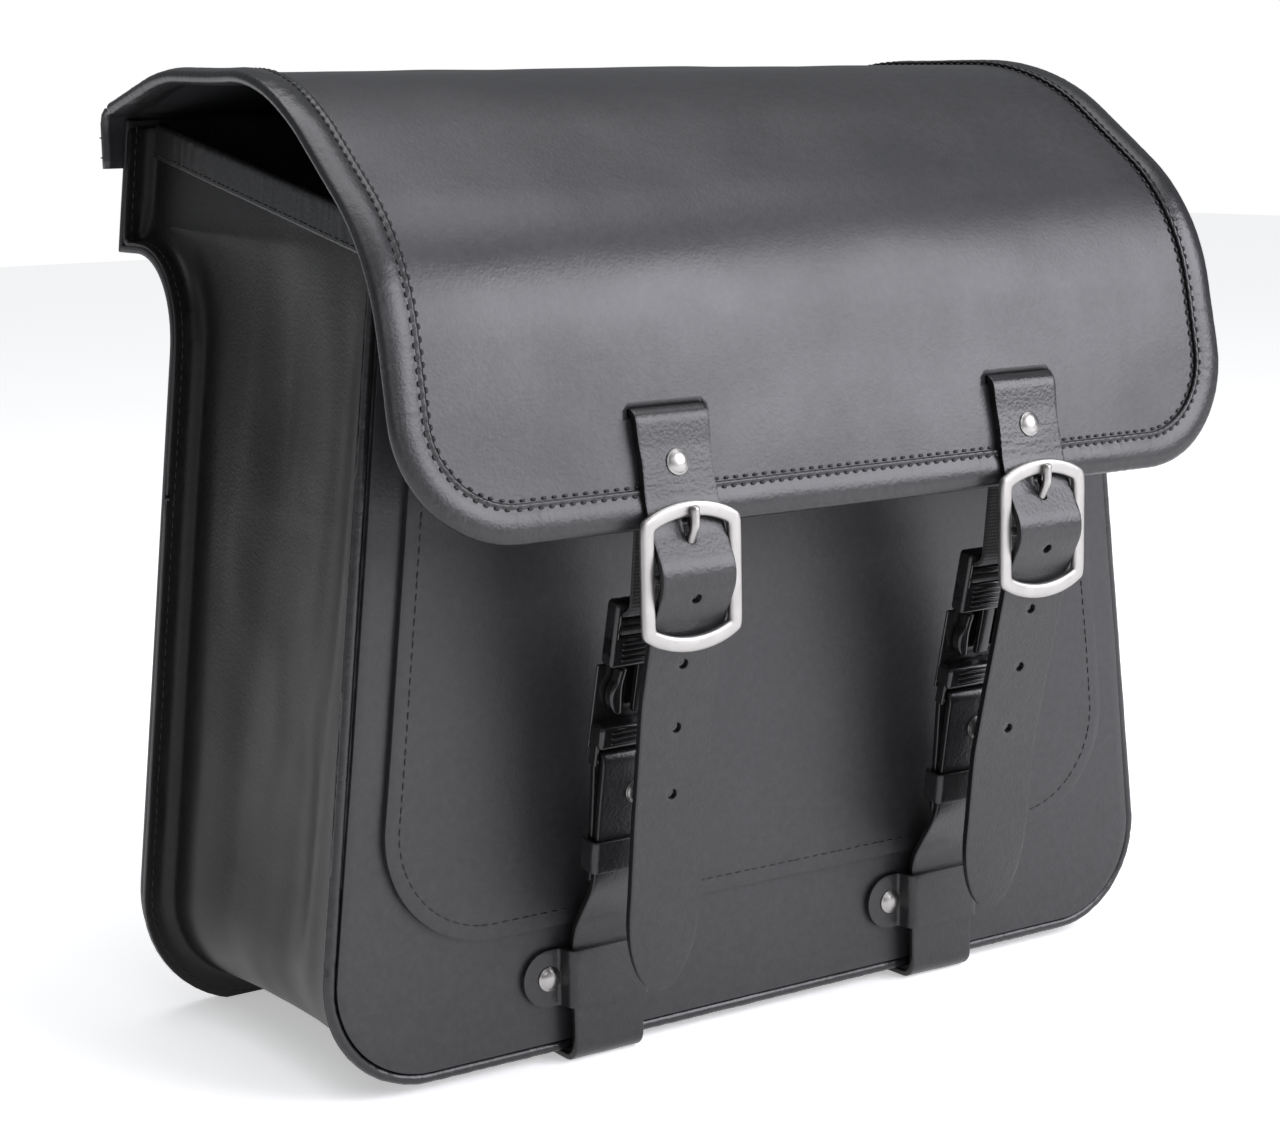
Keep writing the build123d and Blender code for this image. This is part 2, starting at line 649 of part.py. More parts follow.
def make_keeper_rivets():
    out = -KEEPER_T - GAP
    length = LEATHER + BINDING_T + KEEPER_T - out
    rivets = []
    for side in SIDES.values():
        spot = Pos(side * STRAP_X + KEEPER_RIVET_X, out, KEEPER_Z)
        rivets.append(spot * Rot(90, 0, 0) * rivet(length))
    return rivets


def make_fold_rivets():
    half = fold_layers(FOLD_RIVET_Z)[1] + STRAP_T / 2 + 0.3
    places = [fold_rivet_place(side * STRAP_X) for side in SIDES.values()]
    return [place * Pos(0, 0, half) * rivet(2 * half) for place in places]


def make_strap_end_rivets():
    out = GUSSET_IN - GAP - STRAP_T
    length = GUSSET_IN + LEATHER - out
    return [Pos(s * STRAP_X, UNDER_RIVET_Y, out) * Rot(180, 0, 0) * rivet(length) for s in SIDES.values()]


# ---- all the pieces, moved to the bag's own origin, one file each --------------------------
def build():
    gusset = make_gusset()
    panel = make_front_panel()
    lid = make_lid()
    pieces = {
        "front_panel": panel,
        "front_overlay": make_front_overlay(),
        "front_piping": make_front_piping(),
        "gusset": gusset,
        "back_panel": make_back_panel(),
        "back_upper_panel": make_back_upper_panel(),
        "backing_board": make_backing_board(),
        "mount_washers": make_mount_washers(),
        "mouth_binding_left": make_mouth_binding(-1, gusset),
        "mouth_binding_right": make_mouth_binding(1, gusset),
        "mouth_binding_front": make_mouth_binding_front(panel),
        "hinge_strip": make_hinge_strip(),
        "keeper_rivets": make_keeper_rivets(),
        "fold_rivets": make_fold_rivets(),
        "strap_end_rivets": make_strap_end_rivets(),
        "lid": lid,
        "lid_binding": make_lid_binding(lid),
        "lid_rivets": make_lid_rivets(),
    }
    for side, sign in SIDES.items():
        x = sign * STRAP_X
        pieces[f"lower_strap_{side}"] = make_lower_strap(x)
        pieces[f"lower_keeper_{side}"] = make_lower_keeper(x)
        pieces[f"fold_keeper_{side}"] = make_fold_keeper(x)
        pieces[f"female_clip_{side}"] = make_female_clip(x)
        pieces[f"strap_anchor_{side}"] = make_strap_anchor(x)
        pieces[f"strap_tail_{side}"] = make_strap_tail(side, x)
        pieces[f"buckle_frame_{side}"] = make_buckle_frame(x)
        pieces[f"buckle_prong_{side}"] = make_prong(x)
        pieces[f"webbing_anchor_{side}"] = make_webbing_anchor(x)
        pieces[f"webbing_tab_{side}"] = make_webbing_tab(x)
        pieces[f"male_clip_{side}"] = make_male_clip(x)
        for end, hand in SIDES.items():
            pieces[f"clip_arm_{side}_{end}"] = make_clip_arm(x, hand)
    return pieces


def solids_of(piece):
    parts = piece if isinstance(piece, list) else [piece]
    return [solid for part in parts for solid in part.solids()]


pieces = build()
whole = Compound([solid for piece in pieces.values() for solid in solids_of(piece)]).bounding_box()
SHIFT = (-(whole.min.X + whole.max.X) / 2, -(whole.min.Y + whole.max.Y) / 2, -whole.min.Z)

os.makedirs("parts", exist_ok=True)
for name, piece in pieces.items():
    moved = [Pos(*SHIFT) * solid for solid in solids_of(piece)]
    export_step(moved[0] if len(moved) == 1 else Compound(moved), f"parts/{name}.step")
print("moved by", [round(v, 3) for v in SHIFT], "size", whole.size)
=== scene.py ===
import bisect
import math

import bmesh
import bpy
from mathutils import Matrix, Vector, noise


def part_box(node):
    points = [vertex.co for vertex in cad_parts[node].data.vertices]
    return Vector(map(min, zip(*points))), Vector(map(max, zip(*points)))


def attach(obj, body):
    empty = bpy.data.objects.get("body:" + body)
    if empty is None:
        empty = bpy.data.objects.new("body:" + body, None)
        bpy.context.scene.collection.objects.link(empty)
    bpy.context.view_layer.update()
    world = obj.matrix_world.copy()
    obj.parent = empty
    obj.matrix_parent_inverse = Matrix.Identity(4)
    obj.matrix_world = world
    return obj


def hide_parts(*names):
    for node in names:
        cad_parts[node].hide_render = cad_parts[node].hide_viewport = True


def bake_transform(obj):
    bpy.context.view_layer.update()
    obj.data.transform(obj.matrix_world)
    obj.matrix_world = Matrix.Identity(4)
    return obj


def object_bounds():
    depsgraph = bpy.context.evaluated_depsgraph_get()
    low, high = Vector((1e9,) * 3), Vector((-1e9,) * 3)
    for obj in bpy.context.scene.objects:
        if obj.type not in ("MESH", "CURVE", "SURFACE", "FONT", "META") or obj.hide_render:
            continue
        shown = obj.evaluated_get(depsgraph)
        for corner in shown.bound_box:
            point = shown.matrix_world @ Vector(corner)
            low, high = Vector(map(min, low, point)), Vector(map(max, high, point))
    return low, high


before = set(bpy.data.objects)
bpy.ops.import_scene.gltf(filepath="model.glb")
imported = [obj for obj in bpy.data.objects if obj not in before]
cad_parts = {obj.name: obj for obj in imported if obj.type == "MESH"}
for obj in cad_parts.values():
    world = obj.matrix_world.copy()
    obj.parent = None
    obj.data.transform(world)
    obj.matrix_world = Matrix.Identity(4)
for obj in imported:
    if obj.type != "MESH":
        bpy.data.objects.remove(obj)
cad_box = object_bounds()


# ---- Where things are ------------------------------------------------------------------------
# Sizes are in millimetres on the bag: x from its middle plane, y back from the front panel's
# outer face, z up from the middle of the bottom piping. place() puts them in the shared frame.
mm = 0.001
panel_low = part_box("front_panel")[0]
front_y = panel_low[1]
piping_z = panel_low[2] - 2.6 * mm
sides = {"left": -1, "right": 1}


def place(x, y, z):
    return Vector((x * mm, front_y + y * mm, piping_z + z * mm))


bag_heart = place(0, 80, 180)


# ---- Studio ----------------------------------------------------------------------------------
# A long lens at the front left, a little above the bag, on a pale floor in pale surroundings. Soft
# light from overhead, a tall weak box at the left, the large main box at the right, one in front.
def aim(obj, yaw, pitch, roll):
    back = Vector((math.sin(yaw) * math.cos(pitch), -math.cos(yaw) * math.cos(pitch), math.sin(pitch)))
    right = (-back).cross(Vector((0, 0, 1))).normalized()
    up = right.cross(-back)
    turned_right = right * math.cos(roll) + up * math.sin(roll)
    turned_up = up * math.cos(roll) - right * math.sin(roll)
    axes = Matrix((turned_right, turned_up, back)).transposed().to_4x4()
    obj.matrix_world = Matrix.Translation(obj.location) @ axes


lens = bpy.data.cameras.new("camera")
lens.sensor_width = 36
lens.lens = 75.84
lens.clip_start = 0.05
camera = bpy.data.objects.new("camera", lens)
camera.location = place(-692.7, -938.3, 397.3)
aim(camera, math.radians(-33.7), math.radians(9.8), math.radians(-1.1))
bpy.context.scene.collection.objects.link(camera)
bpy.context.scene.camera = camera

ground = bmesh.new()
bmesh.ops.create_grid(ground, x_segments=1, y_segments=1, size=6)
bmesh.ops.translate(ground, verts=ground.verts, vec=(0, 0, cad_box[0][2] - 0.0004))
ground_mesh = bpy.data.meshes.new("studio_floor")
ground.to_mesh(ground_mesh)
ground.free()
floor = bpy.data.objects.new("studio_floor", ground_mesh)
bpy.context.scene.collection.objects.link(floor)
floor_paper = bpy.data.materials.new("floor_paper")
floor_paper.use_nodes = True
paper_shader = floor_paper.node_tree.nodes["Principled BSDF"]
paper_shader.inputs["Base Color"].default_value = (0.95, 0.95, 0.95, 1)
paper_shader.inputs["Roughness"].default_value = 0.8
paper_shader.inputs["Emission Color"].default_value = (1, 1, 1, 1)
paper_shader.inputs["Emission Strength"].default_value = 0.42
floor.data.materials.append(floor_paper)

world = bpy.data.worlds.new("studio")
world.use_nodes = True
bpy.context.scene.world = world
sky = world.node_tree
seen_sky = sky.nodes["Background"]
seen_sky.inputs["Color"].default_value = (1, 1, 1, 1)
seen_sky.inputs["Strength"].default_value = 1.0
lit_sky = sky.nodes.new("ShaderNodeBackground")
lit_sky.inputs["Color"].default_value = (0.93, 0.96, 1, 1)
lit_sky.inputs["Strength"].default_value = 0.23
ray = sky.nodes.new("ShaderNodeLightPath")
choose = sky.nodes.new("ShaderNodeMixShader")
sky.links.new(ray.outputs["Is Camera Ray"], choose.inputs["Fac"])
sky.links.new(lit_sky.outputs[0], choose.inputs[1])
sky.links.new(seen_sky.outputs[0], choose.inputs[2])
sky.links.new(choose.outputs[0], sky.nodes["World Output"].inputs["Surface"])
bpy.context.scene.view_settings.view_transform = "Standard"


def soft_box(name, spot, target, size, power):
    data = bpy.data.lights.new(name, "AREA")
    data.shape = "RECTANGLE"
    data.size, data.size_y = size
    data.energy = power
    data.color = (0.94, 0.93, 1.0)
    lamp = bpy.data.objects.new(name, data)
    lamp.location = spot
    lamp.rotation_euler = (Vector(target) - Vector(spot)).to_track_quat("-Z", "Y").to_euler()
    bpy.context.scene.collection.objects.link(lamp)


daylight = bpy.data.lights.new("overhead", "SUN")
daylight.energy = 0.9
daylight.angle = math.radians(70)
overhead = bpy.data.objects.new("overhead", daylight)
bpy.context.scene.collection.objects.link(overhead)
soft_box("box_above", (0.1, 0.1, 1.5), (0, 0, 0.3), (1.6, 0.7), 8)
soft_box("box_left", (-1.6, 0.35, 0.75), (0, 0.05, 0.2), (0.35, 1.3), 1.1)
soft_box("box_main", (1.1, -1.65, 1.15), (0, -0.05, 0.3), (1.7, 1.5), 63)
soft_box("box_front", (-0.5, -2.0, 1.2), (0, 0, 0.2), (1.0, 0.5), 4)


# ---- Front panel -----------------------------------------------------------------------------
# One 3 mm hide panel with round lower corners. It crowns a little between its seams, and both
# lower keepers pass through it, with no slots cut for them.
def group(name, inputs, outputs):
    tree = bpy.data.node_groups.new(name, "ShaderNodeTree")
    for label, kind, value in inputs:
        socket = tree.interface.new_socket(label, in_out="INPUT", socket_type=kind)
        if value is not None:
            socket.default_value = value
    for label, kind in outputs:
        tree.interface.new_socket(label, in_out="OUTPUT", socket_type=kind)
    return tree


def node(tree, kind, inputs=None, **settings):
    made = tree.nodes.new(kind)
    for key, value in settings.items():
        setattr(made, key, value)
    for key, value in (inputs or {}).items():
        if isinstance(value, bpy.types.NodeSocket):
            tree.links.new(value, made.inputs[key])
        else:
            made.inputs[key].default_value = value
    return made


def mix(tree, factor, low, high):
    """A mix of two tones, each a colour or a socket."""
    made = node(tree, "ShaderNodeMix", data_type="RGBA")
    tree.links.new(factor, made.inputs[0])
    for socket, tone in ((made.inputs[6], low), (made.inputs[7], high)):
        if isinstance(tone, bpy.types.NodeSocket):
            tree.links.new(tone, socket)
        else:
            socket.default_value = (*tone, 1)
    return made.outputs[2]


def ramp(tree, value, low, high, out_low=0.0, out_high=1.0):
    made = node(tree, "ShaderNodeMapRange", {"Value": value, "From Min": low, "From Max": high})
    made.inputs["To Min"].default_value = out_low
    made.inputs["To Max"].default_value = out_high
    return made.outputs["Result"]


def maths(tree, operation, *values):
    return node(tree, "ShaderNodeMath", dict(enumerate(values)), operation=operation).outputs[0]


def clouds(tree, spot, scale, detail=2.0, rough=0.5):
    """Noise at spot, scale to the metre."""
    settings = {"Vector": spot, "Scale": scale, "Detail": detail, "Roughness": rough}
    return node(tree, "ShaderNodeTexNoise", settings).outputs["Fac"]


def new_material(name):
    material = bpy.data.materials.new(name)
    material.use_nodes = True
    return material, material.node_tree, material.node_tree.nodes["Principled BSDF"]


def object_spot(tree):
    return node(tree, "ShaderNodeTexCoord").outputs["Object"]


def add_relief(tree, shader, height, strength, depth):
    """Bumps the surface by height, depth in millimetres."""
    relief = node(tree, "ShaderNodeBump", {"Height": height, "Strength": strength})
    relief.inputs["Distance"].default_value = depth * mm
    tree.links.new(relief.outputs["Normal"], shader.inputs["Normal"])


def make_hide_group():
    """A hide's pores and creases as height, its mottling, its slow changes of sheen, its scuffs."""
    inputs = [("Place", "NodeSocketVector", None), ("Pores", "NodeSocketFloat", 1.0)]
    inputs.append(("Creases", "NodeSocketFloat", 0.3))
    outputs = [(label, "NodeSocketFloat") for label in ("Height", "Mottle", "Cloud", "Scuff")]
    tree = group("hide", inputs, outputs)
    given = tree.nodes.new("NodeGroupInput")
    out = tree.nodes.new("NodeGroupOutput")
    spot = given.outputs["Place"]
    cells = node(tree, "ShaderNodeTexVoronoi", {"Vector": spot, "Scale": 700.0}, feature="SMOOTH_F1")
    pits = maths(tree, "MULTIPLY", cells.outputs["Distance"], 0.8)
    pits = maths(tree, "MULTIPLY_ADD", clouds(tree, spot, 1400.0, 3.0), 0.5, pits)
    pits = maths(tree, "MULTIPLY", pits, given.outputs["Pores"])
    crease = clouds(tree, spot, 90.0, 5.0, 0.6)
    height = maths(tree, "MULTIPLY_ADD", crease, given.outputs["Creases"], pits)
    tree.links.new(height, out.inputs["Height"])
    tree.links.new(clouds(tree, spot, 260.0, 5.0, 0.72), out.inputs["Mottle"])
    tree.links.new(clouds(tree, spot, 13.0, 3.0, 0.55), out.inputs["Cloud"])
    scratch = clouds(tree, spot, 55.0, 8.0, 0.8)
    tree.links.new(ramp(tree, scratch, 0.66, 0.8), out.inputs["Scuff"])
    return tree


hide_group = make_hide_group()


def leather(
    name, dark, light, rough, pores=1.0, creases=0.3, bump=0.2, edge=None, scuffed=0.25, shine=0.5
):
    """dark and light are the grain's tones. edge is a strap's half width: its dyed edges are darker."""
    material, tree, shader = new_material(name)
    hide = node(tree, "ShaderNodeGroup", node_tree=hide_group)
    tree.links.new(object_spot(tree), hide.inputs["Place"])
    hide.inputs["Pores"].default_value = pores
    hide.inputs["Creases"].default_value = creases
    colour = mix(tree, ramp(tree, hide.outputs["Mottle"], 0.3, 0.7), dark, light)
    worn = ramp(tree, hide.outputs["Scuff"], 0.0, 1.0, 0.0, scuffed)
    colour = mix(tree, worn, colour, tuple(c * 2.6 + 0.01 for c in light))
    if edge:
        flat = node(tree, "ShaderNodeUVMap", uv_map="flat")
        axes = node(tree, "ShaderNodeSeparateXYZ", {"Vector": flat.outputs["UV"]})
        out = maths(tree, "ABSOLUTE", axes.outputs["X"])
        near = ramp(tree, out, (edge - 1.5) * mm, (edge - 0.2) * mm)
        colour = mix(tree, near, colour, tuple(c * 0.4 for c in dark))
    tree.links.new(colour, shader.inputs["Base Color"])
    sheen = ramp(tree, hide.outputs["Cloud"], 0.3, 0.7, rough - 0.05, rough + 0.07)
    tree.links.new(sheen, shader.inputs["Roughness"])
    add_relief(tree, shader, hide.outputs["Height"], bump, 0.35)
    shader.inputs["Specular IOR Level"].default_value = shine
    return material


panel_leather = leather("panel_leather", (0.010, 0.010, 0.011), (0.021, 0.021, 0.023), 0.42)


def arc_path(corners, radii, step):
    """Points of a 2-D path with rounded corners, spread evenly, about step apart."""
    corners = [Vector(p) for p in corners]
    fine = [corners[0]]
    for before, corner, after, radius in zip(corners, corners[1:], corners[2:], radii):
        a = (before - corner).normalized()
        b = (after - corner).normalized()
        half = a.angle(b) / 2
        if not radius or half > math.pi / 2 - 1e-4:
            fine.append(corner)
            continue
        middle = corner + (a + b).normalized() * (radius / math.sin(half))
        start = corner + a * (radius / math.tan(half)) - middle
        end = corner + b * (radius / math.tan(half)) - middle
        turn = (math.pi - 2 * half) * (1 if start.x * end.y - start.y * end.x > 0 else -1)
        count = max(4, int(abs(turn) * radius / step * 3))
        for i in range(count + 1):
            c, s = math.cos(turn * i / count), math.sin(turn * i / count)
            fine.append(middle + Vector((start.x * c - start.y * s, start.x * s + start.y * c)))
    fine.append(corners[-1])
    long, at = follow(fine)
    count = max(2, round(long / step))
    return [at(long * i / count)[0] for i in range(count + 1)]


def follow(points):
    """A path read by length: how long it is, and a function giving place and direction at a length."""
    runs = [0.0]
    for a, b in zip(points, points[1:]):
        runs.append(runs[-1] + (b - a).length)

    def at(s):
        s = min(max(s, 0.0), runs[-1])
        i = min(max(bisect.bisect_left(runs, s), 1), len(runs) - 1)
        step = runs[i] - runs[i - 1]
        share = (s - runs[i - 1]) / step if step else 0.0
        before = points[max(i - 2, 0)]
        after = points[min(i + 1, len(points) - 1)]
        return points[i - 1].lerp(points[i], share), (after - before).normalized()

    return runs[-1], at


def ruffle(point, size, seed=0.0):
    """Smooth noise from -1 to 1 over lengths of about size millimetres."""
    return noise.noise(Vector(point) / size + Vector((seed, seed * 0.7, -seed)))


def mesh_piece(name, shape, material, heart=None):
    """Faces turn outwards: away from heart for an open sheet, by their own shell when closed."""
    if heart is None:
        bmesh.ops.recalc_face_normals(shape, faces=shape.faces)
    else:
        outward = sum((f.calc_center_median() - heart).dot(f.normal) * f.calc_area() for f in shape.faces)
        if outward < 0:
            bmesh.ops.reverse_faces(shape, faces=shape.faces)
    mesh = bpy.data.meshes.new(name)
    shape.to_mesh(mesh)
    shape.free()
    mesh.polygons.foreach_set("use_smooth", [True] * len(mesh.polygons))
    piece = bpy.data.objects.new(name, mesh)
    bpy.context.scene.collection.objects.link(piece)
    mesh.materials.append(material)
    return piece


def sheet(columns, rows, where, flat=None, holes=(), closed=False):
    """A grid laid by where(u, v), with UVs in metres from flat(u, v) and round holes (place, radius)."""
    shape = bmesh.new()
    bmesh.ops.create_grid(shape, x_segments=columns, y_segments=rows, size=0.5)
    uv = shape.loops.layers.uv.new("flat")
    spots = {v: (v.co.x + 0.5, v.co.y + 0.5) for v in shape.verts}
    for face in shape.faces:
        for loop in face.loops:
            loop[uv].uv = flat(*spots[loop.vert]) if flat else spots[loop.vert]
    for vert, spot in spots.items():
        vert.co = where(*spot)
    if closed:
        bmesh.ops.remove_doubles(shape, verts=shape.verts, dist=1e-6)
        bmesh.ops.holes_fill(shape, edges=[e for e in shape.edges if e.is_boundary], sides=0)
    shape.normal_update()
    for middle, radius in holes:
        gone = [f for f in shape.faces if (f.calc_center_median() - middle).length < radius]
        rim = {v for f in gone for v in f.verts}
        bmesh.ops.delete(shape, geom=gone, context="FACES")
        for vert in rim:
            if vert.is_valid:
                vert.co = middle + (vert.co - middle).normalized() * radius
    return shape


def thicken(piece, depth, offset=-1.0, edge=0.8):
    """Gives a sheet its thickness, inwards unless offset says otherwise, and rounds its cut edges."""
    wall = piece.modifiers.new("thickness", "SOLIDIFY")
    wall.thickness = depth * mm
    wall.offset = offset
    if edge:
        rounded = piece.modifiers.new("edge", "BEVEL")
        rounded.width = edge * mm
        rounded.segments = 2
        rounded.limit_method = "ANGLE"
        rounded.angle_limit = math.radians(50)


taper = 0.1125
corner_r = 45.0
front_top = 348.0


def seam_half(z, grow=0.0):
    """Half width of the seam line at height z, grown outward."""
    return 225.75 - taper * z + grow * math.sqrt(1 + taper**2)


def half_at(z, grow, low, radius):
    """The same with the round lower corners counted."""
    middle_z = low + radius
    if z > middle_z + radius * math.sin(math.atan(taper)):
        return seam_half(z, grow)
    middle_x = seam_half(middle_z, grow) - radius * math.sqrt(1 + taper**2)
    return middle_x + math.sqrt(max(0.0, radius**2 - (z - middle_z) ** 2))


def row_height(v, low, top, radius):
    """Rows crowd together round the corners."""
    bend = 0.25
    if v < bend:
        return low + radius * (1 - math.cos(v / bend * math.pi / 2))
    return low + radius + (top - low - radius) * (v - bend) / (1 - bend)


def front_bulge(x, z):
    """How far the front stands out between its seams."""
    up = max(0.0, min(1.0, (z - 50) / 90))
    down = max(0.0, min(1.0, (375 - z) / 90))
    across = max(0.0, 1 - (x / 219) ** 2)
    return (2.6 * math.sqrt(across) + 0.7 * ruffle((x, z, 0), 90, 3.0)) * up * down


def front_sheet(grow, low, top, radius, y, holes=()):
    def where(u, v):
        z = row_height(v, low, top, radius)
        x = (2 * u - 1) * half_at(z, grow, low, radius)
        return place(x, y - front_bulge(x, z), z)

    return sheet(100, 90, where, holes=holes)


front = mesh_piece(
    "front_panel_hide", front_sheet(-2.6, 2.6, front_top, 42.4, 0), panel_leather, bag_heart
)
thicken(front, 3.0)
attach(front, "bag")
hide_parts("front_panel")


# ---- Front overlay ---------------------------------------------------------------------------
# A second layer of the same hide in the shape of a pocket, its edges cut and dyed, sewn to the
# front panel with waxed black thread 6.5 mm inside its edge.
def make_thread():
    material, tree, shader = new_material("waxed_thread")
    twist = clouds(tree, object_spot(tree), 2600.0)
    colour = mix(tree, twist, (0.002, 0.002, 0.002), (0.010, 0.010, 0.010))
    tree.links.new(colour, shader.inputs["Base Color"])
    add_relief(tree, shader, twist, 0.4, 0.2)
    shader.inputs["Roughness"].default_value = 0.6
    return material


thread = make_thread()
stitch_pitch = 4.8
handful = 40


def pour(part, shape):
    """Moves what is in part into shape."""
    carrier = bpy.data.meshes.new("part")
    part.to_mesh(carrier)
    part.clear()
    shape.from_mesh(carrier)
    bpy.data.meshes.remove(carrier)


def sew(name, rows, body, long=3.9, wide=0.95):
    """Separate stitches, made a handful at a time because that is quick. Each row is a list of (place,
    direction, outward normal)."""
    shape = bmesh.new()
    few = bmesh.new()
    made = 0
    for row in rows:
        run = stitch_pitch * mm
        last = None
        for point, along, out in row:
            run += (point - last).length if last is not None else 0.0
            last = point
            if run < stitch_pitch * mm:
                continue
            run -= stitch_pitch * mm
            along = along.normalized()
            side = out.cross(along).normalized()
            lie = Matrix((side, out.normalized(), along)).transposed().to_4x4()
            size = Matrix.Diagonal((wide * mm / 2, wide * mm * 0.42, long * mm / 2, 1))
            turn = Matrix.Translation(point) @ lie @ size
            bmesh.ops.create_uvsphere(few, u_segments=6, v_segments=5, radius=1, matrix=turn)
            made += 1
            if made % handful == 0:
                pour(few, shape)
    pour(few, shape)
    few.free()
    piece = mesh_piece(name, shape, thread)
    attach(piece, body)
    return piece


def outline(grow, low, radius, top, step):
    """The seam line in XZ grown outward: down the left side, across the bottom, up the right."""
    corners = [(-seam_half(top, grow), top), (-seam_half(low, grow), low)]
    corners += [(-x, z) for x, z in reversed(corners)]
    return arc_path(corners, [radius, radius], step)


def directions(points):
    ends = [points[0]] + points + [points[-1]]
    return [(c - a).normalized() for a, c in zip(ends, ends[2:])]


overlay_in = -18.0
overlay_low = 55.0
overlay_r = 50.0
overlay_top = 332.0
overlay = mesh_piece(
    "front_overlay_hide",
    front_sheet(overlay_in, overlay_low, overlay_top, overlay_r, -3),
    panel_leather, bag_heart,
)
thicken(overlay, 2.9, edge=1.1)
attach(overlay, "bag")
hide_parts("front_overlay")

inset = 6.5
row = outline(overlay_in - inset, overlay_low + inset, overlay_r - inset, overlay_top - 4, 1.0)
overlay_row = [
    (place(p.x, -3.1 - front_bulge(p.x, p.y), p.y), Vector((d.x, 0, d.y)), Vector((0, -1, 0)))
    for p, d in zip(row, directions(row))
]
sew("overlay_stitches", [overlay_row], "bag", long=3.4, wide=0.8)


# ---- Front piping ----------------------------------------------------------------------------
# Thin glossy hide wrapped round a cord, sewn between front panel and gusset, with small wrinkles
# where it takes the corners.
edge_leather = leather(
    "edge_leather", (0.006, 0.006, 0.007), (0.014, 0.014, 0.015), 0.30, creases=0.9, bump=0.3, scuffed=0.5
)


def make_piping():
    line = outline(0, 0, corner_r, front_top, 1.6)
    lean = directions(line)

    def where(u, v):
        i = round(v * (len(line) - 1))
        out = Vector((-lean[i].y, lean[i].x))
        if out.dot(line[i] - Vector((0, 180))) < 0:
            out = -out
        angle = 2 * math.pi * u
        bend = 1 if line[i].y < 60 else 0.4
        r = 2.5 + bend * 0.22 * ruffle((i * 1.6, 0, u), 3.2, 8.0) + 0.1 * ruffle((i * 1.6, 0, 3), 17)
        flat = line[i] + out * (r * math.cos(angle))
        return place(flat.x, 2.5 + r * math.sin(angle), flat.y)

    return sheet(14, len(line) - 1, where, closed=True)


piping = mesh_piece("front_piping_hide", make_piping(), edge_leather)
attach(piping, "bag")
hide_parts("front_piping")


# ---- Gusset ----------------------------------------------------------------------------------
# One long hide wall round sides and bottom. It sags inwards, with soft folds running down its
# sides, and turns out into a sewn flange against the back, which curves over the frame rail.
# The gusset's hide gets about a third of the panel hide's tone: painted shade for the bag's side, which faces
# away from the main light.
gusset_shaded_leather = leather(
    "gusset_shaded_leather", (0.0035, 0.0033, 0.0035), (0.008, 0.0075, 0.008), 0.36, creases=0.7, bump=0.22,
    shine=0.32,
)
wall_grow = -4.0
mouth_low = 349.5
mouth_high = 390.5
mouth_slope = (mouth_high - mouth_low) / 227.0
back_line = arc_path([(227, mouth_high), (227, 340), (164, 340), (164, 226)], [3, 48], 2.5)
wall_end = arc_path([(221, mouth_high - 1.1), (221, 346), (158, 346), (158, 226)], [14, 48], 2.5)


def gusset_columns():
    """For the left half: front (x, z), back (x, y, z), outward (x, z), and in from the back (y, z)."""
    columns = []
    long, at = follow(back_line)
    end_long, end_at = follow(wall_end)
    upper = 84
    for i in range(upper):
        share = i / upper
        drop = 0.1 * share if share < 0.2 else 0.02 + 0.98 * (share - 0.2) / 0.8
        z = mouth_low - drop * (mouth_low - 226)
        p = at(share * long)[0]
        slope = math.atan(taper)
        out = Vector((-math.cos(slope), -math.sin(slope)))
        front_xz = Vector((-seam_half(z, wall_grow), z))
        near = end_at(share * end_long)[0] - p
        columns.append((front_xz, Vector((-seam_half(p.y, wall_grow), p.x, p.y)), out, near / 6))
    low = [(-seam_half(226, wall_grow), 226), (-seam_half(4, wall_grow), 4), (0, 4)]
    line = arc_path(low, [41], 5.0)
    for p, d in zip(line, directions(line)):
        out = Vector((d.y, -d.x))
        if out.x > 0 or (abs(out.x) < 0.01 and out.y > 0):
            out = -out
        columns.append((p, Vector((p.x, 164, p.y)), out, Vector((-1, 0))))
    return columns


def smooth(share):
    share = min(1.0, max(0.0, share))
    return share * share * (3 - 2 * share)


def fold_depth(y, z, down):
    """How far the gusset's wall lies inside its seams. down runs from mouth to bottom."""
    clear = max(0.0, 158 - y)
    if z > 226:
        clear = min(math.hypot(y - p.x, z - p.y) for p in wall_end)
    held = smooth((y - 4) / 22) * smooth(clear / 26) * smooth((down - 0.06) / 0.34)
    stiff = min(1.0, max(0.0, (z - 6) / 70))
    sag = 6.0 * math.sin(math.pi * y / (y + clear)) ** 1.3
    lean = y + 0.10 * (z - 200)
    folds = 1.9 * math.exp(-((lean - 100) / 14) ** 2) - 1.7 * math.exp(-((lean - 126) / 15) ** 2)
    folds += 1.5 * math.exp(-((lean - 42) / 11) ** 2) - 1.4 * math.exp(-((lean - 20) / 9) ** 2)
    drape = 1.5 * ruffle((y * 1.1, z * 0.28, 0), 32, 5.0) + 0.35 * ruffle((y, z * 0.4, 0), 15, 9.0)
    return held * (sag * (0.35 + 0.65 * stiff) + (folds + drape) * stiff)


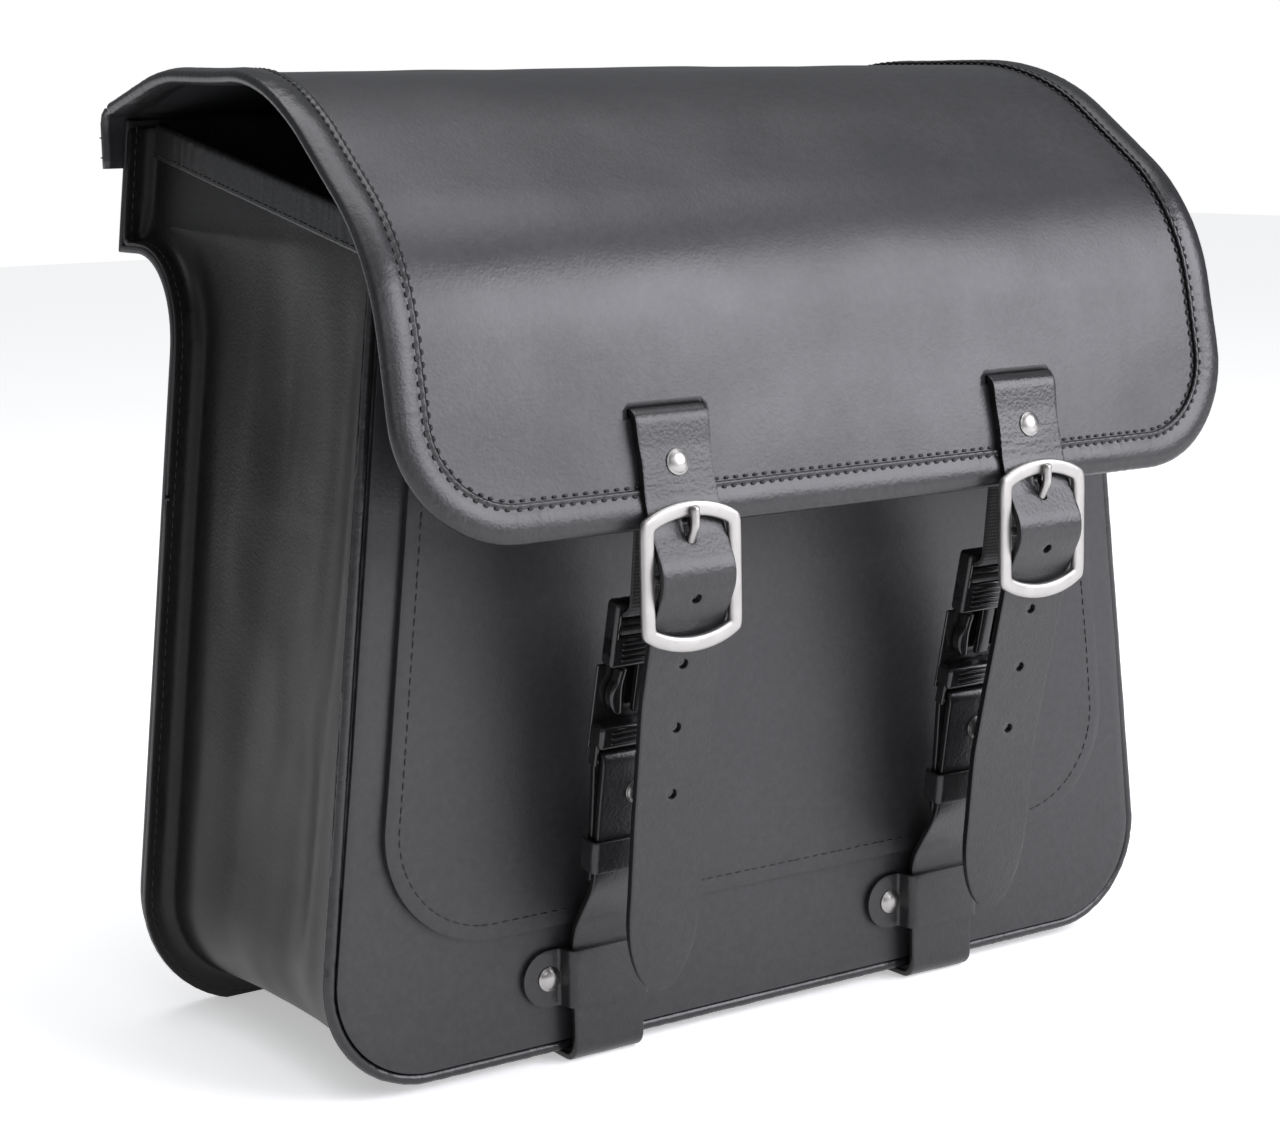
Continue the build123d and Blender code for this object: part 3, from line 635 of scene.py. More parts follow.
def make_gusset():
    half = gusset_columns()
    columns = half + [
        (Vector((-f.x, f.y)), Vector((-b.x, b.y, b.z)), Vector((-o.x, o.y)), m)
        for f, b, o, m in reversed(half[:-1])
    ]
    count = len(columns) - 1
    middle = len(half) - 1
    wall_rows, turn_rows, flange_rows = 54, 6, 5
    rows = wall_rows + turn_rows + flange_rows

    def where(u, v):
        i, j = round(u * count), round(v * rows)
        front_xz, back, out2, in2 = columns[i]
        out = Vector((out2.x, 0, out2.y))
        into = Vector((0, in2.x, in2.y))
        near = Vector((front_xz.x, 4.2, front_xz.y))
        far = back + into * 6
        if j <= wall_rows:
            share = j / wall_rows
            p = near.lerp(far, share)
            down = 1 - abs(i - middle) / middle
            p = p - out * fold_depth(p.y, p.z, down)
        elif j <= wall_rows + turn_rows:
            turn = (j - wall_rows) / turn_rows * math.pi / 2
            p = far + out * (6 - 6 * math.cos(turn)) - into * (6 * math.sin(turn))
        else:
            share = (j - wall_rows - turn_rows) / flange_rows
            p = back + out * (6 + 7 * share) + into * (0.4 * ruffle((i * 4, j, 0), 20))
        return place(p.x, p.y, p.z)

    return sheet(count, rows, where), columns


gusset_shape, gusset_places = make_gusset()
gusset = mesh_piece("gusset_hide", gusset_shape, gusset_shaded_leather, bag_heart)
thicken(gusset, 2.9)
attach(gusset, "bag")
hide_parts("gusset")

flange_row = []
for (_, a, out2, m), (_, b, _, _) in zip(gusset_places, gusset_places[1:]):
    out = Vector((out2.x, 0, out2.y))
    steps = max(1, round((b - a).length))
    for i in range(steps):
        p = a.lerp(b, i / steps) + out * 9.6
        flange_row.append((place(p.x, p.y, p.z), b - a, Vector((0, m.x, m.y))))
sew("flange_stitches", [flange_row], "bag", long=3.4, wide=0.8)


# ---- Back panels -----------------------------------------------------------------------------
# A flat lower back with four bolt holes, its upper part moulded over the frame rail, and an upper
# back sewn to it. Both are 3 mm hide, sewn to the gusset's flange with cut edges.
rest_z = -6.0
flange_grow = 9.0
flange_r = corner_r + flange_grow
bolt_spots = [(x, 170, z) for x in (-100, 100) for z in (115, 215)]


def make_back():
    line = arc_path([(170, rest_z), (170, 334), (230, 334)], [42], 4.0)

    def where(u, v):
        p = line[round(v * (len(line) - 1))]
        x = (2 * u - 1) * half_at(p.y, flange_grow, rest_z, flange_r)
        return place(x, p.x, p.y)

    holes = [(place(*spot), 4.25 * mm) for spot in bolt_spots]
    return sheet(150, len(line) - 1, where, holes=holes)


back = mesh_piece("back_panel_hide", make_back(), panel_leather, bag_heart)
thicken(back, 3.0)
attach(back, "bag")
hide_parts("back_panel")


def lay_upper_back(u, v):
    z = 334 + 60 * v
    x = (2 * u - 1) * seam_half(z, flange_grow)
    return place(x, 233 + 0.3 * ruffle((x, z, 0), 40, 6.0), z)


upper_back = mesh_piece(
    "upper_back_hide", sheet(90, 16, lay_upper_back), panel_leather, bag_heart
)
thicken(upper_back, 3.0)
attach(upper_back, "bag")
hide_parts("back_upper_panel")

line = outline(4.0, -1.0, 49, 288, 1.0)
back_row = [
    (place(p.x, 170.1, p.y), Vector((d.x, 0, d.y)), Vector((0, 1, 0))) for p, d in zip(line, directions(line))
]
sew("back_stitches", [back_row], "bag", long=3.4, wide=0.8)


# ---- Mouth bindings --------------------------------------------------------------------------
# Soft hide strips folded over the top edges of gusset and front panel and sewn through. Folded
# round a stiff edge, they pucker into fine wrinkles across the strip.
mouth_hide = leather(
    "mouth_hide", (0.008, 0.008, 0.008), (0.017, 0.017, 0.018), 0.33, creases=0.9, bump=0.35, scuffed=0.5
)


rail_step = 1.3
mouth_wide = 13
mouth_stitch_in = 11
mouth_stitch_lift = 2.9


def binding(rail, wide, wall, pucker, puff=0.0, step=rail_step, layers=14):
    """A strip folded over an edge. rail gives (edge point, inward, outward) in mm, wide is its reach."""
    reach = wall / 2 + 0.7
    profile = [(wide * (1 - i / layers), 1, None) for i in range(layers + 1)]
    profile += [(0, 0, math.pi * i / 8) for i in range(1, 8)]
    profile += [(wide * i / layers, -1, None) for i in range(layers + 1)]

    def where(u, v):
        i = round(v * (len(rail) - 1))
        depth, face, turn = profile[round(u * (len(profile) - 1))]
        edge, inward, out = rail[i]
        along = i * step
        share = depth / wide
        wave = pucker * (0.6 + 0.4 * ruffle((along, 0, 0), 40, 2.0))
        ripple = wave * ruffle((along, depth * 0.12, 2.0 * face), 2.6, 4.0) * (1 - 0.4 * share)
        swell = puff * math.sin(math.pi * min(1.0, share * 1.25)) ** 0.8 if share < 0.8 else 0.0
        if puff and face > 0:
            lip = max(0.0, 1 - abs(share - 0.95) / 0.08)
            swell += lip * (0.75 + 0.3 * math.cos(2 * math.pi * along / stitch_pitch))
        if turn is None:
            p = edge + inward * depth + out * (face * (reach + swell + ripple))
        else:
            around = reach + ripple
            p = edge + out * (around * math.cos(turn)) - inward * (around * math.sin(turn))
        return place(p.x, p.y, p.z)

    return sheet(len(profile) - 1, len(rail) - 1, where)


def rail_row(rail, inset, lift, along):
    """A row of stitches through a binding, inset from its edge."""
    return [(place(*(edge + inward * inset + out * lift)), along, out) for edge, inward, out in rail]


def mouth_rail(hand):
    rail = []
    first, long = 7.5, 218
    count = round(long / rail_step)
    for i in range(count + 1):
        y = first + long * i / count
        z = mouth_low + y * mouth_slope - 0.8
        x = hand * (seam_half(z, wall_grow) - 1.45)
        down = Vector((hand * taper, -mouth_slope * 0.05, -1)).normalized()
        rail.append((Vector((x, y, z)), down, Vector((hand, 0, taper)).normalized()))
    return rail


for side, hand in sides.items():
    rail = mouth_rail(hand)
    strip = mesh_piece(
        f"mouth_binding_{side}_hide", binding(rail, mouth_wide, 3.0, 0.55), mouth_hide
    )
    thicken(strip, 1.1, offset=0.0, edge=0.0)
    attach(strip, "bag")
    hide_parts(f"mouth_binding_{side}")
    row = rail_row(rail, mouth_stitch_in, mouth_stitch_lift, Vector((0, 1, mouth_slope)))
    sew(f"mouth_stitches_{side}", [row], "bag", long=3.4, wide=0.8)

front_half = seam_half(front_top, -2.5) - 16
front_rail = []
for i in range(round(2 * front_half / rail_step) + 1):
    x = -front_half + rail_step * i
    spot = Vector((x, 1.5 - front_bulge(x, front_top), front_top - 0.8))
    front_rail.append((spot, Vector((0, 0, -1)), Vector((0, -1, 0))))
folded = binding(front_rail, mouth_wide, 3.0, 0.5)
strip = mesh_piece("mouth_binding_front_hide", folded, mouth_hide)
thicken(strip, 1.1, offset=0.0, edge=0.0)
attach(strip, "bag")
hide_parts("mouth_binding_front")
row = rail_row(front_rail, mouth_stitch_in, mouth_stitch_lift, Vector((1, 0, 0)))
sew("mouth_stitches_front", [row], "bag", long=3.4, wide=0.8)


# ---- Lid -------------------------------------------------------------------------------------
# One 3 mm hide, curved over the mouth and down the front. Its rear edge turns down behind the
# upper back, where it is sewn with two rows: that turn is the hinge. Slots take the straps.
lid_leather = leather(
    "lid_leather", (0.011, 0.011, 0.012), (0.024, 0.024, 0.026), 0.38, creases=0.45, bump=0.2, scuffed=0.3
)
lid_edge_y = -65.5
lid_edge_z = 234.0
lid_corners = [(235.0, 372), (235.0, 398), (225.5, 398.1), (160, 412.5), (45.5, 410.5), (-43.5, 344.5)]
lid_line = arc_path(lid_corners + [(lid_edge_y, lid_edge_z)], [6.5, 0, 150, 120, 90], 1.0)
lid_long, lid_at = follow(lid_line)
lid_corner = 48.0
flap_down = Vector((-0.19529, -0.98075))
flap_out = Vector((flap_down.y, -flap_down.x))


def on_flap(up, out):
    """(y, z) up the lid's front flap from its lower edge and out from its outer face."""
    return Vector((lid_edge_y, lid_edge_z)) - flap_down * up + flap_out * (out + 1.5)


def lid_side(s):
    y = min(lid_at(s)[0].x, 231)
    return 213.5 - 12.5 * (y - lid_edge_y) / 296.5


def lid_half(s):
    """Half width at length s along the lid, its round front corners counted."""
    past = s - (lid_long - lid_corner)
    if past <= 0:
        return lid_side(s)
    return lid_side(lid_long - lid_corner) - lid_corner + math.sqrt(max(0.0, lid_corner**2 - past**2))


def lid_wave(x, s):
    """The hide's soft unevenness, in mm outwards."""
    held = min(1.0, max(0.0, (s - 60) / 80))
    dip = -1.2 * math.exp(-((s - 210) / 70) ** 2) * math.cos(x / 215 * math.pi / 2)
    return held * (dip + 1.0 * ruffle((x, s * 1.4, 0), 95, 12.0) + 0.35 * ruffle((x, s, 0), 34, 15.0))


def lid_point(x, s, out):
    p, d = lid_at(s)
    normal = Vector((d.y, -d.x))
    if normal.dot(p - Vector((90, 300))) < 0:
        normal = -normal
    p = p + normal * (out + lid_wave(x, s))
    return Vector((x, p.x, p.y)), Vector((0, normal.x, normal.y))


def make_lid():
    straight = [i * 4.0 for i in range(int((lid_long - lid_corner) / 4.0))]
    corner = [lid_long - lid_corner + lid_corner * math.sin(math.pi / 2 * i / 20) for i in range(21)]
    rows = straight + corner

    def where(u, v):
        s = rows[round(v * (len(rows) - 1))]
        x = (2 * u - 1) * lid_half(s)
        return place(*lid_point(x, s, 0)[0])

    return sheet(120, len(rows) - 1, where)


def settled(piece):
    """The piece with its modifiers made part of its mesh."""
    bpy.context.view_layer.update()
    graph = bpy.context.evaluated_depsgraph_get()
    seen = piece.evaluated_get(graph)
    mesh = bpy.data.meshes.new_from_object(seen, preserve_all_data_layers=True, depsgraph=graph)
    piece.modifiers.clear()
    old = piece.data
    piece.data = mesh
    bpy.data.meshes.remove(old)
    mesh.name = piece.name
    return piece


strap_x = 92.6
slot_up = 44.0
lid = mesh_piece("lid_hide", make_lid(), lid_leather, bag_heart)
thicken(lid, 3.0, offset=0.0, edge=0.0)
slots = bmesh.new()
for hand in sides.values():
    y, z = on_flap(slot_up, -1.5)
    tilt = Matrix.Rotation(-math.atan2(flap_down.x, -flap_down.y), 4, "X")
    size = Matrix.Diagonal((36.2 * mm, 9 * mm, 3.4 * mm, 1))
    bmesh.ops.create_cube(slots, size=1, matrix=Matrix.Translation(place(hand * strap_x, y, z)) @ tilt @ size)
cutter_mesh = bpy.data.meshes.new("slot_punch")
slots.to_mesh(cutter_mesh)
slots.free()
cutter = bpy.data.objects.new("slot_punch", cutter_mesh)
bpy.context.scene.collection.objects.link(cutter)
cut = lid.modifiers.new("slots", "BOOLEAN")
cut.operation = "DIFFERENCE"
cut.solver = "EXACT"
cut.object = cutter
settled(lid)
bpy.data.objects.remove(cutter)
for polygon in lid.data.polygons:
    polygon.use_smooth = True
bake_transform(lid)
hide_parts("lid", "hinge_strip")

hinge_seam = 400
hinge_rows = [
    [(place(i - hinge_seam / 2, 236.6, z), Vector((1, 0, 0)), Vector((0, 1, 0))) for i in range(hinge_seam)]
    for z in (377.0, 386.0)
]
sew("hinge_stitches", hinge_rows, "bag")


# ---- Lid binding -----------------------------------------------------------------------------
# A glossy folded strip round the lid's sides and front, puffed over its edge, puckered, and sewn
# with two close rows either side of its raised inner edge.
lid_binding_hide = leather(
    "lid_binding_hide", (0.006, 0.006, 0.007), (0.014, 0.014, 0.015), 0.32, creases=0.8, bump=0.3, scuffed=0.5
)
binding_wide = 13.0


def lid_edge_line(step):
    """The lid's edge, as (x, length along it), from the left rear corner round to the right."""
    start = 38.0
    turn_at = lid_long - lid_corner
    side = [Vector((-lid_side(s), s)) for s in [start + i * 2.0 for i in range(int((turn_at - start) / 2.0))]]
    centre = Vector((-lid_side(turn_at) + lid_corner, turn_at))
    arc = [
        centre + Vector((-math.cos(math.pi / 2 * i / 40), math.sin(math.pi / 2 * i / 40))) * lid_corner
        for i in range(41)
    ]
    half = side + arc
    points = half + [Vector((-p.x, p.y)) for p in reversed(half)]
    long, at = follow(points)
    count = round(long / step)
    return [at(long * i / count) for i in range(count + 1)]


def lid_rail(step):
    rail = []
    for p, d in lid_edge_line(step):
        inward = Vector((d.y, -d.x))
        if inward.dot(Vector((0, 300)) - p) <= 0:
            inward = -inward
        here, out = lid_point(p.x, p.y, 0)
        near = lid_point(p.x + inward.x * 4, p.y + inward.y * 4, 0)[0]
        rail.append((here, (near - here).normalized(), out))
    return rail


lid_step = 1.2
lid_edges = lid_rail(lid_step)
folded = binding(lid_edges, binding_wide, 3.0, 0.22, puff=0.9, step=lid_step)
lid_binding = mesh_piece("lid_binding_strip", folded, lid_binding_hide)
thicken(lid_binding, 1.1, offset=0.0, edge=0.0)
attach(lid_binding, "lid")
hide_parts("lid_binding")

rows = []
for inset, lift in ((10.6, 2.95), (14.2, 1.7)):
    row = []
    for (edge, inward, out), (after, _, _) in zip(lid_edges, lid_edges[1:]):
        p = edge + inward * inset + out * lift
        row.append((place(p.x, p.y, p.z), after - edge, out))
    rows.append(row)
sew("lid_stitches", rows, "lid", long=2.5, wide=1.5)


# ---- Rivets ----------------------------------------------------------------------------------
# Nickel-plated dome rivets with a soft shine and a thin rim, set through strap and hide and closed over
# a flat burr inside.
def make_nickel(name, rough, brush):
    material, tree, shader = new_material(name)
    spot = object_spot(tree)
    worn = clouds(tree, spot, 180.0, 6.0)
    colour = mix(tree, worn, (0.31, 0.30, 0.29), (0.42, 0.41, 0.395))
    tree.links.new(colour, shader.inputs["Base Color"])
    tree.links.new(ramp(tree, worn, 0.3, 0.7, rough - 0.05, rough + 0.08), shader.inputs["Roughness"])
    add_relief(tree, shader, clouds(tree, spot, 2200.0), brush, 0.08)
    shader.inputs["Metallic"].default_value = 1.0
    return material


polished_nickel = make_nickel("polished_nickel", 0.33, 0.15)
satin_nickel = make_nickel("satin_nickel", 0.40, 0.3)


def turned(shape, profile, spot, axis, steps=32):
    """A turned shape: profile is (radius, height) in mm about axis through spot."""
    before = set(shape.verts)
    ring = [shape.verts.new((r * mm, 0, h * mm)) for r, h in profile]
    edges = [shape.edges.new(pair) for pair in zip(ring, ring[1:])]
    bmesh.ops.spin(
        shape, geom=ring + edges, cent=(0, 0, 0), axis=(0, 0, 1), angle=2 * math.pi, steps=steps,
        use_merge=True,
    )
    new = [v for v in shape.verts if v not in before]
    bmesh.ops.remove_doubles(shape, verts=new, dist=1e-6)
    new = [v for v in shape.verts if v not in before]
    lie = Matrix.Translation(spot) @ axis.normalized().to_track_quat("Z", "Y").to_matrix().to_4x4()
    bmesh.ops.transform(shape, matrix=lie, verts=new)


def rivet_profile(length):
    dome = [(0, 2.2), (0.9, 2.16), (1.9, 2.02), (2.9, 1.74), (3.8, 1.33), (4.5, 0.88), (4.85, 0.55)]
    rim = [(5.25, 0.5), (5.4, 0.28), (5.3, 0.02), (2.0, 0)]
    burr = [(2.0, 0), (4.4, 0.1), (4.8, 0.4), (4.5, 0.9), (0, 1)]
    return dome + rim + [(r, -length - h) for r, h in burr]


def rivets(name, spots, body, node_name):
    shape = bmesh.new()
    for spot, axis, length in spots:
        turned(shape, rivet_profile(length), spot, axis)
    piece = mesh_piece(name, shape, polished_nickel)
    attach(piece, body)
    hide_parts(node_name)


def yz_axis(v):
    return Vector((0, v.x, v.y))


spots = [(place(h * strap_x, *on_flap(22.4, 4.2)), yz_axis(flap_out), 14.2) for h in sides.values()]
rivets("lid_rivet_caps", spots, "lid", "lid_rivets")
keeper_z = 32
spots = [(place(h * strap_x - 26.2, -2.6, keeper_z), Vector((0, -1, 0)), 9.2) for h in sides.values()]
rivets("keeper_rivet_caps", spots, "bag", "keeper_rivets")
spots = [(place(h * strap_x, 132, 1.0), Vector((0, 0, -1)), 6.2) for h in sides.values()]
rivets("strap_end_rivet_caps", spots, "bag", "strap_end_rivets")


# ---- Closure straps --------------------------------------------------------------------------
# Each is one 35 mm strap: from inside the lid out through the slot, riveted, bent at the lid's
# edge, over the buckle's centre bar and down to a pointed tip, with four punched holes.
strap_half = 17.5
strap_thick = 2.8
strap_leather = leather(
    "strap_leather", (0.007, 0.007, 0.008), (0.017, 0.017, 0.018), 0.31, pores=1.3, creases=0.6,
    bump=0.3, edge=strap_half, scuffed=0.35,
)
pivot = Vector((-72.4, 229.5))
bar_y = -74.4
bar_r = 1.9
buckle_y = -75.0
buckle_z = 212.3
buckle_half_thick = 1.8
tip_y = {"left": -47.0, "right": -41.0}
tip_z = 34.0
tip_long = 38.0


def across(x0):
    """Lays strips that run in a plane of y and z, their middle at x0."""
    return lambda p, x: place(x0 + x, p.x, p.y)


def cut_strip(name, points, rows, half, lay, wave=None, columns=16, holes=(), thick=strap_thick, edge=0.55):
    """A strip cut from hide along a path of 2-D points. rows are lengths along it, half(s) is its half
    width, lay(point, x) puts a point of the path, moved across by x, in its place."""
    at = follow(points)[1]

    def where(u, v):
        s = rows[round(v * (len(rows) - 1))]
        p, d = at(s)
        x = (2 * u - 1) * half(s)
        if wave:
            p = p + Vector((-d.y, d.x)) * wave(x, s)
        return lay(p, x)

    def flat(u, v):
        s = rows[round(v * (len(rows) - 1))]
        return ((2 * u - 1) * half(s) * mm, s * mm)

    shape = sheet(columns, len(rows) - 1, where, flat, holes)
    piece = mesh_piece(name, shape, strap_leather)
    thicken(piece, thick, offset=0.0, edge=edge)
    return piece


def strap_line(side):
    over_bar = bar_y - bar_r - 2.4 - strap_thick / 2
    behind = buckle_y + buckle_half_thick + 0.1 + strap_thick / 2
    path = [
        on_flap(16, -4.5), on_flap(slot_up + 0.3, -4.5), on_flap(slot_up, 3.6), on_flap(slot_up - 15, 2.7),
        on_flap(8, 2.7), pivot, (over_bar - 1.9, buckle_z + 0.5), (behind, buckle_z - 19), (-63, 160),
        (tip_y[side] - 9, 110), (tip_y[side], tip_z),
    ]
    return arc_path(path, [2.5, 4.6, 30, 20, 12, 14, 14, 60, 90], 0.7)


for side, hand in sides.items():
    x0 = hand * strap_x
    line = strap_line(side)
    long, at = follow(line)
    straight = long - tip_long
    rows = [i * 1.5 for i in range(int(straight / 1.5))]
    rows += [straight + tip_long * math.sin(math.pi / 2 * i / 26) for i in range(27)]
    crest = min(rows, key=lambda s: (at(s)[0] - on_flap(14, 2.7)).length if s > 40 else 99)

    def half(s):
        past = max(0.0, s - straight)
        drawn_in = 0.8 * math.exp(-((s - crest + 8) / 9) ** 2)
        return (strap_half - drawn_in) * math.sqrt(max(0.0006, 1 - (past / tip_long) ** 2))

    def wave(x, s):
        pucker = math.exp(-((s - crest) / 6) ** 2)
        wander = s * 1.9 + 2.2 * ruffle((x, s * 0.5, 0), 9, 3.0 + hand)
        creases = 0.34 * pucker * math.sin(wander) * (0.6 + 0.4 * ruffle((x, s, 0), 5, 7.0))
        loose = 0.5 * ruffle((x * 0.4, s, 0), 45, 20.0 + hand) * min(1.0, max(0.0, (s - crest - 90) / 40))
        past = max(0.0, s - straight + 6)
        cup = 0.02 * past * (x / strap_half) ** 2
        crease = 0.0
        if hand < 0:
            crease = -0.35 * math.exp(-((s - long + 15 + 0.25 * x) / 1.0) ** 2)
        return creases + loose + cup + crease

    holes = []
    for z in (204, 176, 149, 120):
        p = min((p for p in line if p.y < 226), key=lambda p: abs(p.y - z))
        holes.append((place(x0, p.x, p.y), 2.3 * mm))
    for z in (234.0, 231.5, 229.0, 226.5):
        p = min((p for p in line if p.x < -68 and p.y > 222), key=lambda p: abs(p.y - z))
        holes.append((place(x0, p.x, p.y), 2.5 * mm))
    strap = cut_strip(f"closure_strap_{side}", line, rows, half, across(x0), wave, 26, holes)
    settled(strap)
    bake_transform(strap)
    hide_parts(f"strap_anchor_{side}", f"strap_tail_{side}")


# ---- Buckles ---------------------------------------------------------------------------------
# Cast nickel-plated frames, satin: a rounded rectangle with crowned ends and a centre bar that the
# strap goes over.
def crowned(half_wide, half_high, bow, corner):
    """An upright rectangle with bowed ends and round corners, evenly numbered so two can be paired."""

    def end_height(x):
        return half_high - bow * (x / half_wide) ** 2

    quarter = [(half_wide, (end_height(half_wide) - corner) * i / 12) for i in range(13)]
    for i in range(1, 8):
        angle = math.pi / 2 * i / 8
        x = half_wide - corner * (1 - math.cos(angle))
        quarter.append((x, end_height(half_wide - corner * (1 - i / 8)) - corner * (1 - math.sin(angle))))
    for i in range(17):
        x = (half_wide - corner) * (1 - i / 16)
        quarter.append((x, end_height(x)))
    half = quarter + [(-x, z) for x, z in reversed(quarter[:-1])]
    ring = [Vector(p) for p in half + [(-x, -z) for x, z in half[1:-1]]]
    for _ in range(12):
        around = zip(ring[-1:] + ring, ring, ring[1:] + ring[:1])
        ring = [(before + p * 2 + after) / 4 for before, p, after in around]
    return ring + ring[:1]


for side, hand in sides.items():
    outer = crowned(24.0, 30.5, 6.5, 3.0)
    inner = crowned(18.0, 24.2, 4.2, 1.2)
    count = len(outer) - 1

    def where(u, v, x0=hand * strap_x):
        i = round(v * count)
        angle = 2 * math.pi * u
        a, b = inner[i], outer[i]
        middle, reach = (a + b) / 2, (b - a) / 2
        c, s = math.cos(angle), math.sin(angle)
        flat = middle + reach * math.copysign(abs(c) ** 0.6, c)
        y = buckle_y + buckle_half_thick * math.copysign(abs(s) ** 0.6, s)
        return place(x0 + flat.x, y, buckle_z + flat.y)

    shape = sheet(20, count, where, closed=True)
    bar = [(0, -20.5), (1.7, -20.5), (1.9, -19), (1.9, 19), (1.7, 20.5), (0, 20.5)]
    turned(shape, bar, place(hand * strap_x, bar_y, buckle_z), Vector((1, 0, 0)), steps=20)
    buckle = mesh_piece(f"buckle_{side}", shape, satin_nickel)
    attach(buckle, f"closure_{side}")
    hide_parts(f"buckle_frame_{side}")


# ---- Prongs ----------------------------------------------------------------------------------
# Tapered nickel pins looped round the centre bar. Each comes up through the strap and rests on
# the buckle's top bar with a rounded tip.
def tube(shape, points, radius_at, lay, around=14):
    """A round bar along 2-D points, radius_at(share) thick, with rounded ends."""
    heads = directions(points)
    count = len(points) - 1

    def where(u, v):
        i = round(v * count)
        share = i / count
        r = radius_at(share)
        out = Vector((-heads[i].y, heads[i].x))
        angle = 2 * math.pi * u
        p = points[i] + out * (r * math.cos(angle))
        return lay(p, r * math.sin(angle))

    made = sheet(around, count, where, closed=True)
    pour(made, shape)
    made.free()


for side, hand in sides.items():
    front_of = buckle_y - buckle_half_thick - 1.75
    top = buckle_z + 30.5
    path = [(-72.4, 213.8), (-72.0, 221.5), (front_of + 0.3, top - 10), (front_of, top - 1.6)]
    points = arc_path(path, [5, 5], 0.6)

    def pin_radius(share):
        end = max(0.0, (share - 0.93) / 0.07)
        return (1.95 - 0.2 * share) * math.sqrt(max(0.0, 1 - end**2))

    pin = across(hand * strap_x)
    shape = bmesh.new()
    tube(shape, points, pin_radius, lambda p, x: pin(p, x * 1.1))
    ring = [(bar_r + 0.3, -1.6), (bar_r + 1.3, -1.9), (bar_r + 2.0, -1.2), (bar_r + 2.1, 0)]
    ring += [(r, -h) for r, h in reversed(ring[:-1])] + [(bar_r + 0.3, -1.6)]
    turned(shape, ring, place(hand * strap_x, bar_y, buckle_z), Vector((1, 0, 0)), steps=24)
    prong = mesh_piece(f"prong_{side}", shape, polished_nickel)
    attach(prong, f"prong_{side}")
    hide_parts(f"buckle_prong_{side}")


# ---- Webbing tabs ----------------------------------------------------------------------------
# 32 mm black polyester webbing, riveted inside the lid behind each strap, hung from under the
# lid's edge and threaded through the slider of the side-release clip.
webbing_cloth, cloth, cloth_shader = new_material("webbing")
flat = node(cloth, "ShaderNodeUVMap", uv_map="flat").outputs["UV"]
weft = node(cloth, "ShaderNodeTexWave", {"Vector": flat, "Scale": 330.0, "Distortion": 0.6})
weft.bands_direction = "X"
warp = node(cloth, "ShaderNodeTexWave", {"Vector": flat, "Scale": 210.0, "Distortion": 0.8})
warp.bands_direction = "Y"
weave = maths(cloth, "MULTIPLY", weft.outputs["Fac"], warp.outputs["Fac"])
colour = mix(cloth, weave, (0.003, 0.003, 0.003), (0.018, 0.018, 0.019))
cloth.links.new(colour, cloth_shader.inputs["Base Color"])
add_relief(cloth, cloth_shader, weave, 0.7, 0.4)
cloth_shader.inputs["Roughness"].default_value = 0.62
cloth_shader.inputs["Sheen Weight"].default_value = 0.2

clip_lean = math.radians(13.9)
clip_up = Vector((-math.sin(clip_lean), math.cos(clip_lean)))
clip_out = Vector((-clip_up.y, clip_up.x))
clip_joint = Vector((-40.0, 172.5))


def on_clip(up, out):
    """(y, z) up the clip from the joint between its halves, and out of its face."""
    return clip_joint + clip_up * up + clip_out * out


web_out = -7.2
for side, hand in sides.items():
    path = [
        on_flap(32, web_out), on_flap(2, web_out),
        on_clip(23.3, 9), on_clip(23.3, -5.5), on_clip(16, -5.5), on_clip(16, 6),
    ]
    line = arc_path(path, [8, 7, 2.2, 2.2], 0.8)
    rows = [i * 0.9 for i in range(int(follow(line)[0] / 0.9))]
    tab = cut_strip(
        f"webbing_tab_{side}", line, rows, lambda s: 16.0, across(hand * strap_x),
        columns=20, thick=2.0, edge=0.5,
    )
    tab.data.materials.clear()
    tab.data.materials.append(webbing_cloth)
    settled(tab)
    y, z = on_flap(2, web_out)
    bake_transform(tab)
    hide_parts(f"webbing_anchor_{side}", f"webbing_tab_{side}")


# ---- Side-release clips ----------------------------------------------------------------------
# Glossy black moulded nylon. The male half has a two-slot slider for the webbing, a centre guide
# and two sprung arms; the other half is a tray with rounded shoulders and a bar for the strap.
nylon, nylon_tree, nylon_shader = new_material("moulded_nylon")
spot = object_spot(nylon_tree)
flow = clouds(nylon_tree, spot, 60.0, 4.0)
colour = mix(nylon_tree, flow, (0.006, 0.006, 0.006), (0.013, 0.013, 0.014))
nylon_tree.links.new(colour, nylon_shader.inputs["Base Color"])
nylon_tree.links.new(ramp(nylon_tree, flow, 0.3, 0.7, 0.16, 0.30), nylon_shader.inputs["Roughness"])
add_relief(nylon_tree, nylon_shader, clouds(nylon_tree, spot, 1500.0), 0.12, 0.1)


def clip_lie(x0):
    """Puts (across, up, out) millimetres of a clip in place."""
    y, z = clip_joint
    axes = Matrix(((1, 0, 0), (0, clip_up.x, clip_up.y), (0, clip_out.x, clip_out.y))).transposed().to_4x4()
    return Matrix.Translation(place(x0, y, z)) @ axes


def moulded(shape, lie, low, high, round_off=1.0, segments=3):
    """A moulded bar between two corners, in mm, with rounded edges."""
    size = Vector(high) - Vector(low)
    middle = (Vector(high) + Vector(low)) / 2 * mm
    block = lie @ Matrix.Translation(middle) @ Matrix.Diagonal((*(size * mm), 1))
    new = bmesh.ops.create_cube(shape, size=1, matrix=block)
    edges = list({e for v in new["verts"] for e in v.link_edges})
    reach = min(round_off, min(size) * 0.45)
    bmesh.ops.bevel(
        shape, geom=edges, offset=reach * mm, segments=segments, affect="EDGES", profile=0.5, material=-1
    )


def clip_piece(name, shape, body, node_name):
    piece = mesh_piece(name, shape, nylon)
    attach(piece, body)
    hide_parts(node_name)


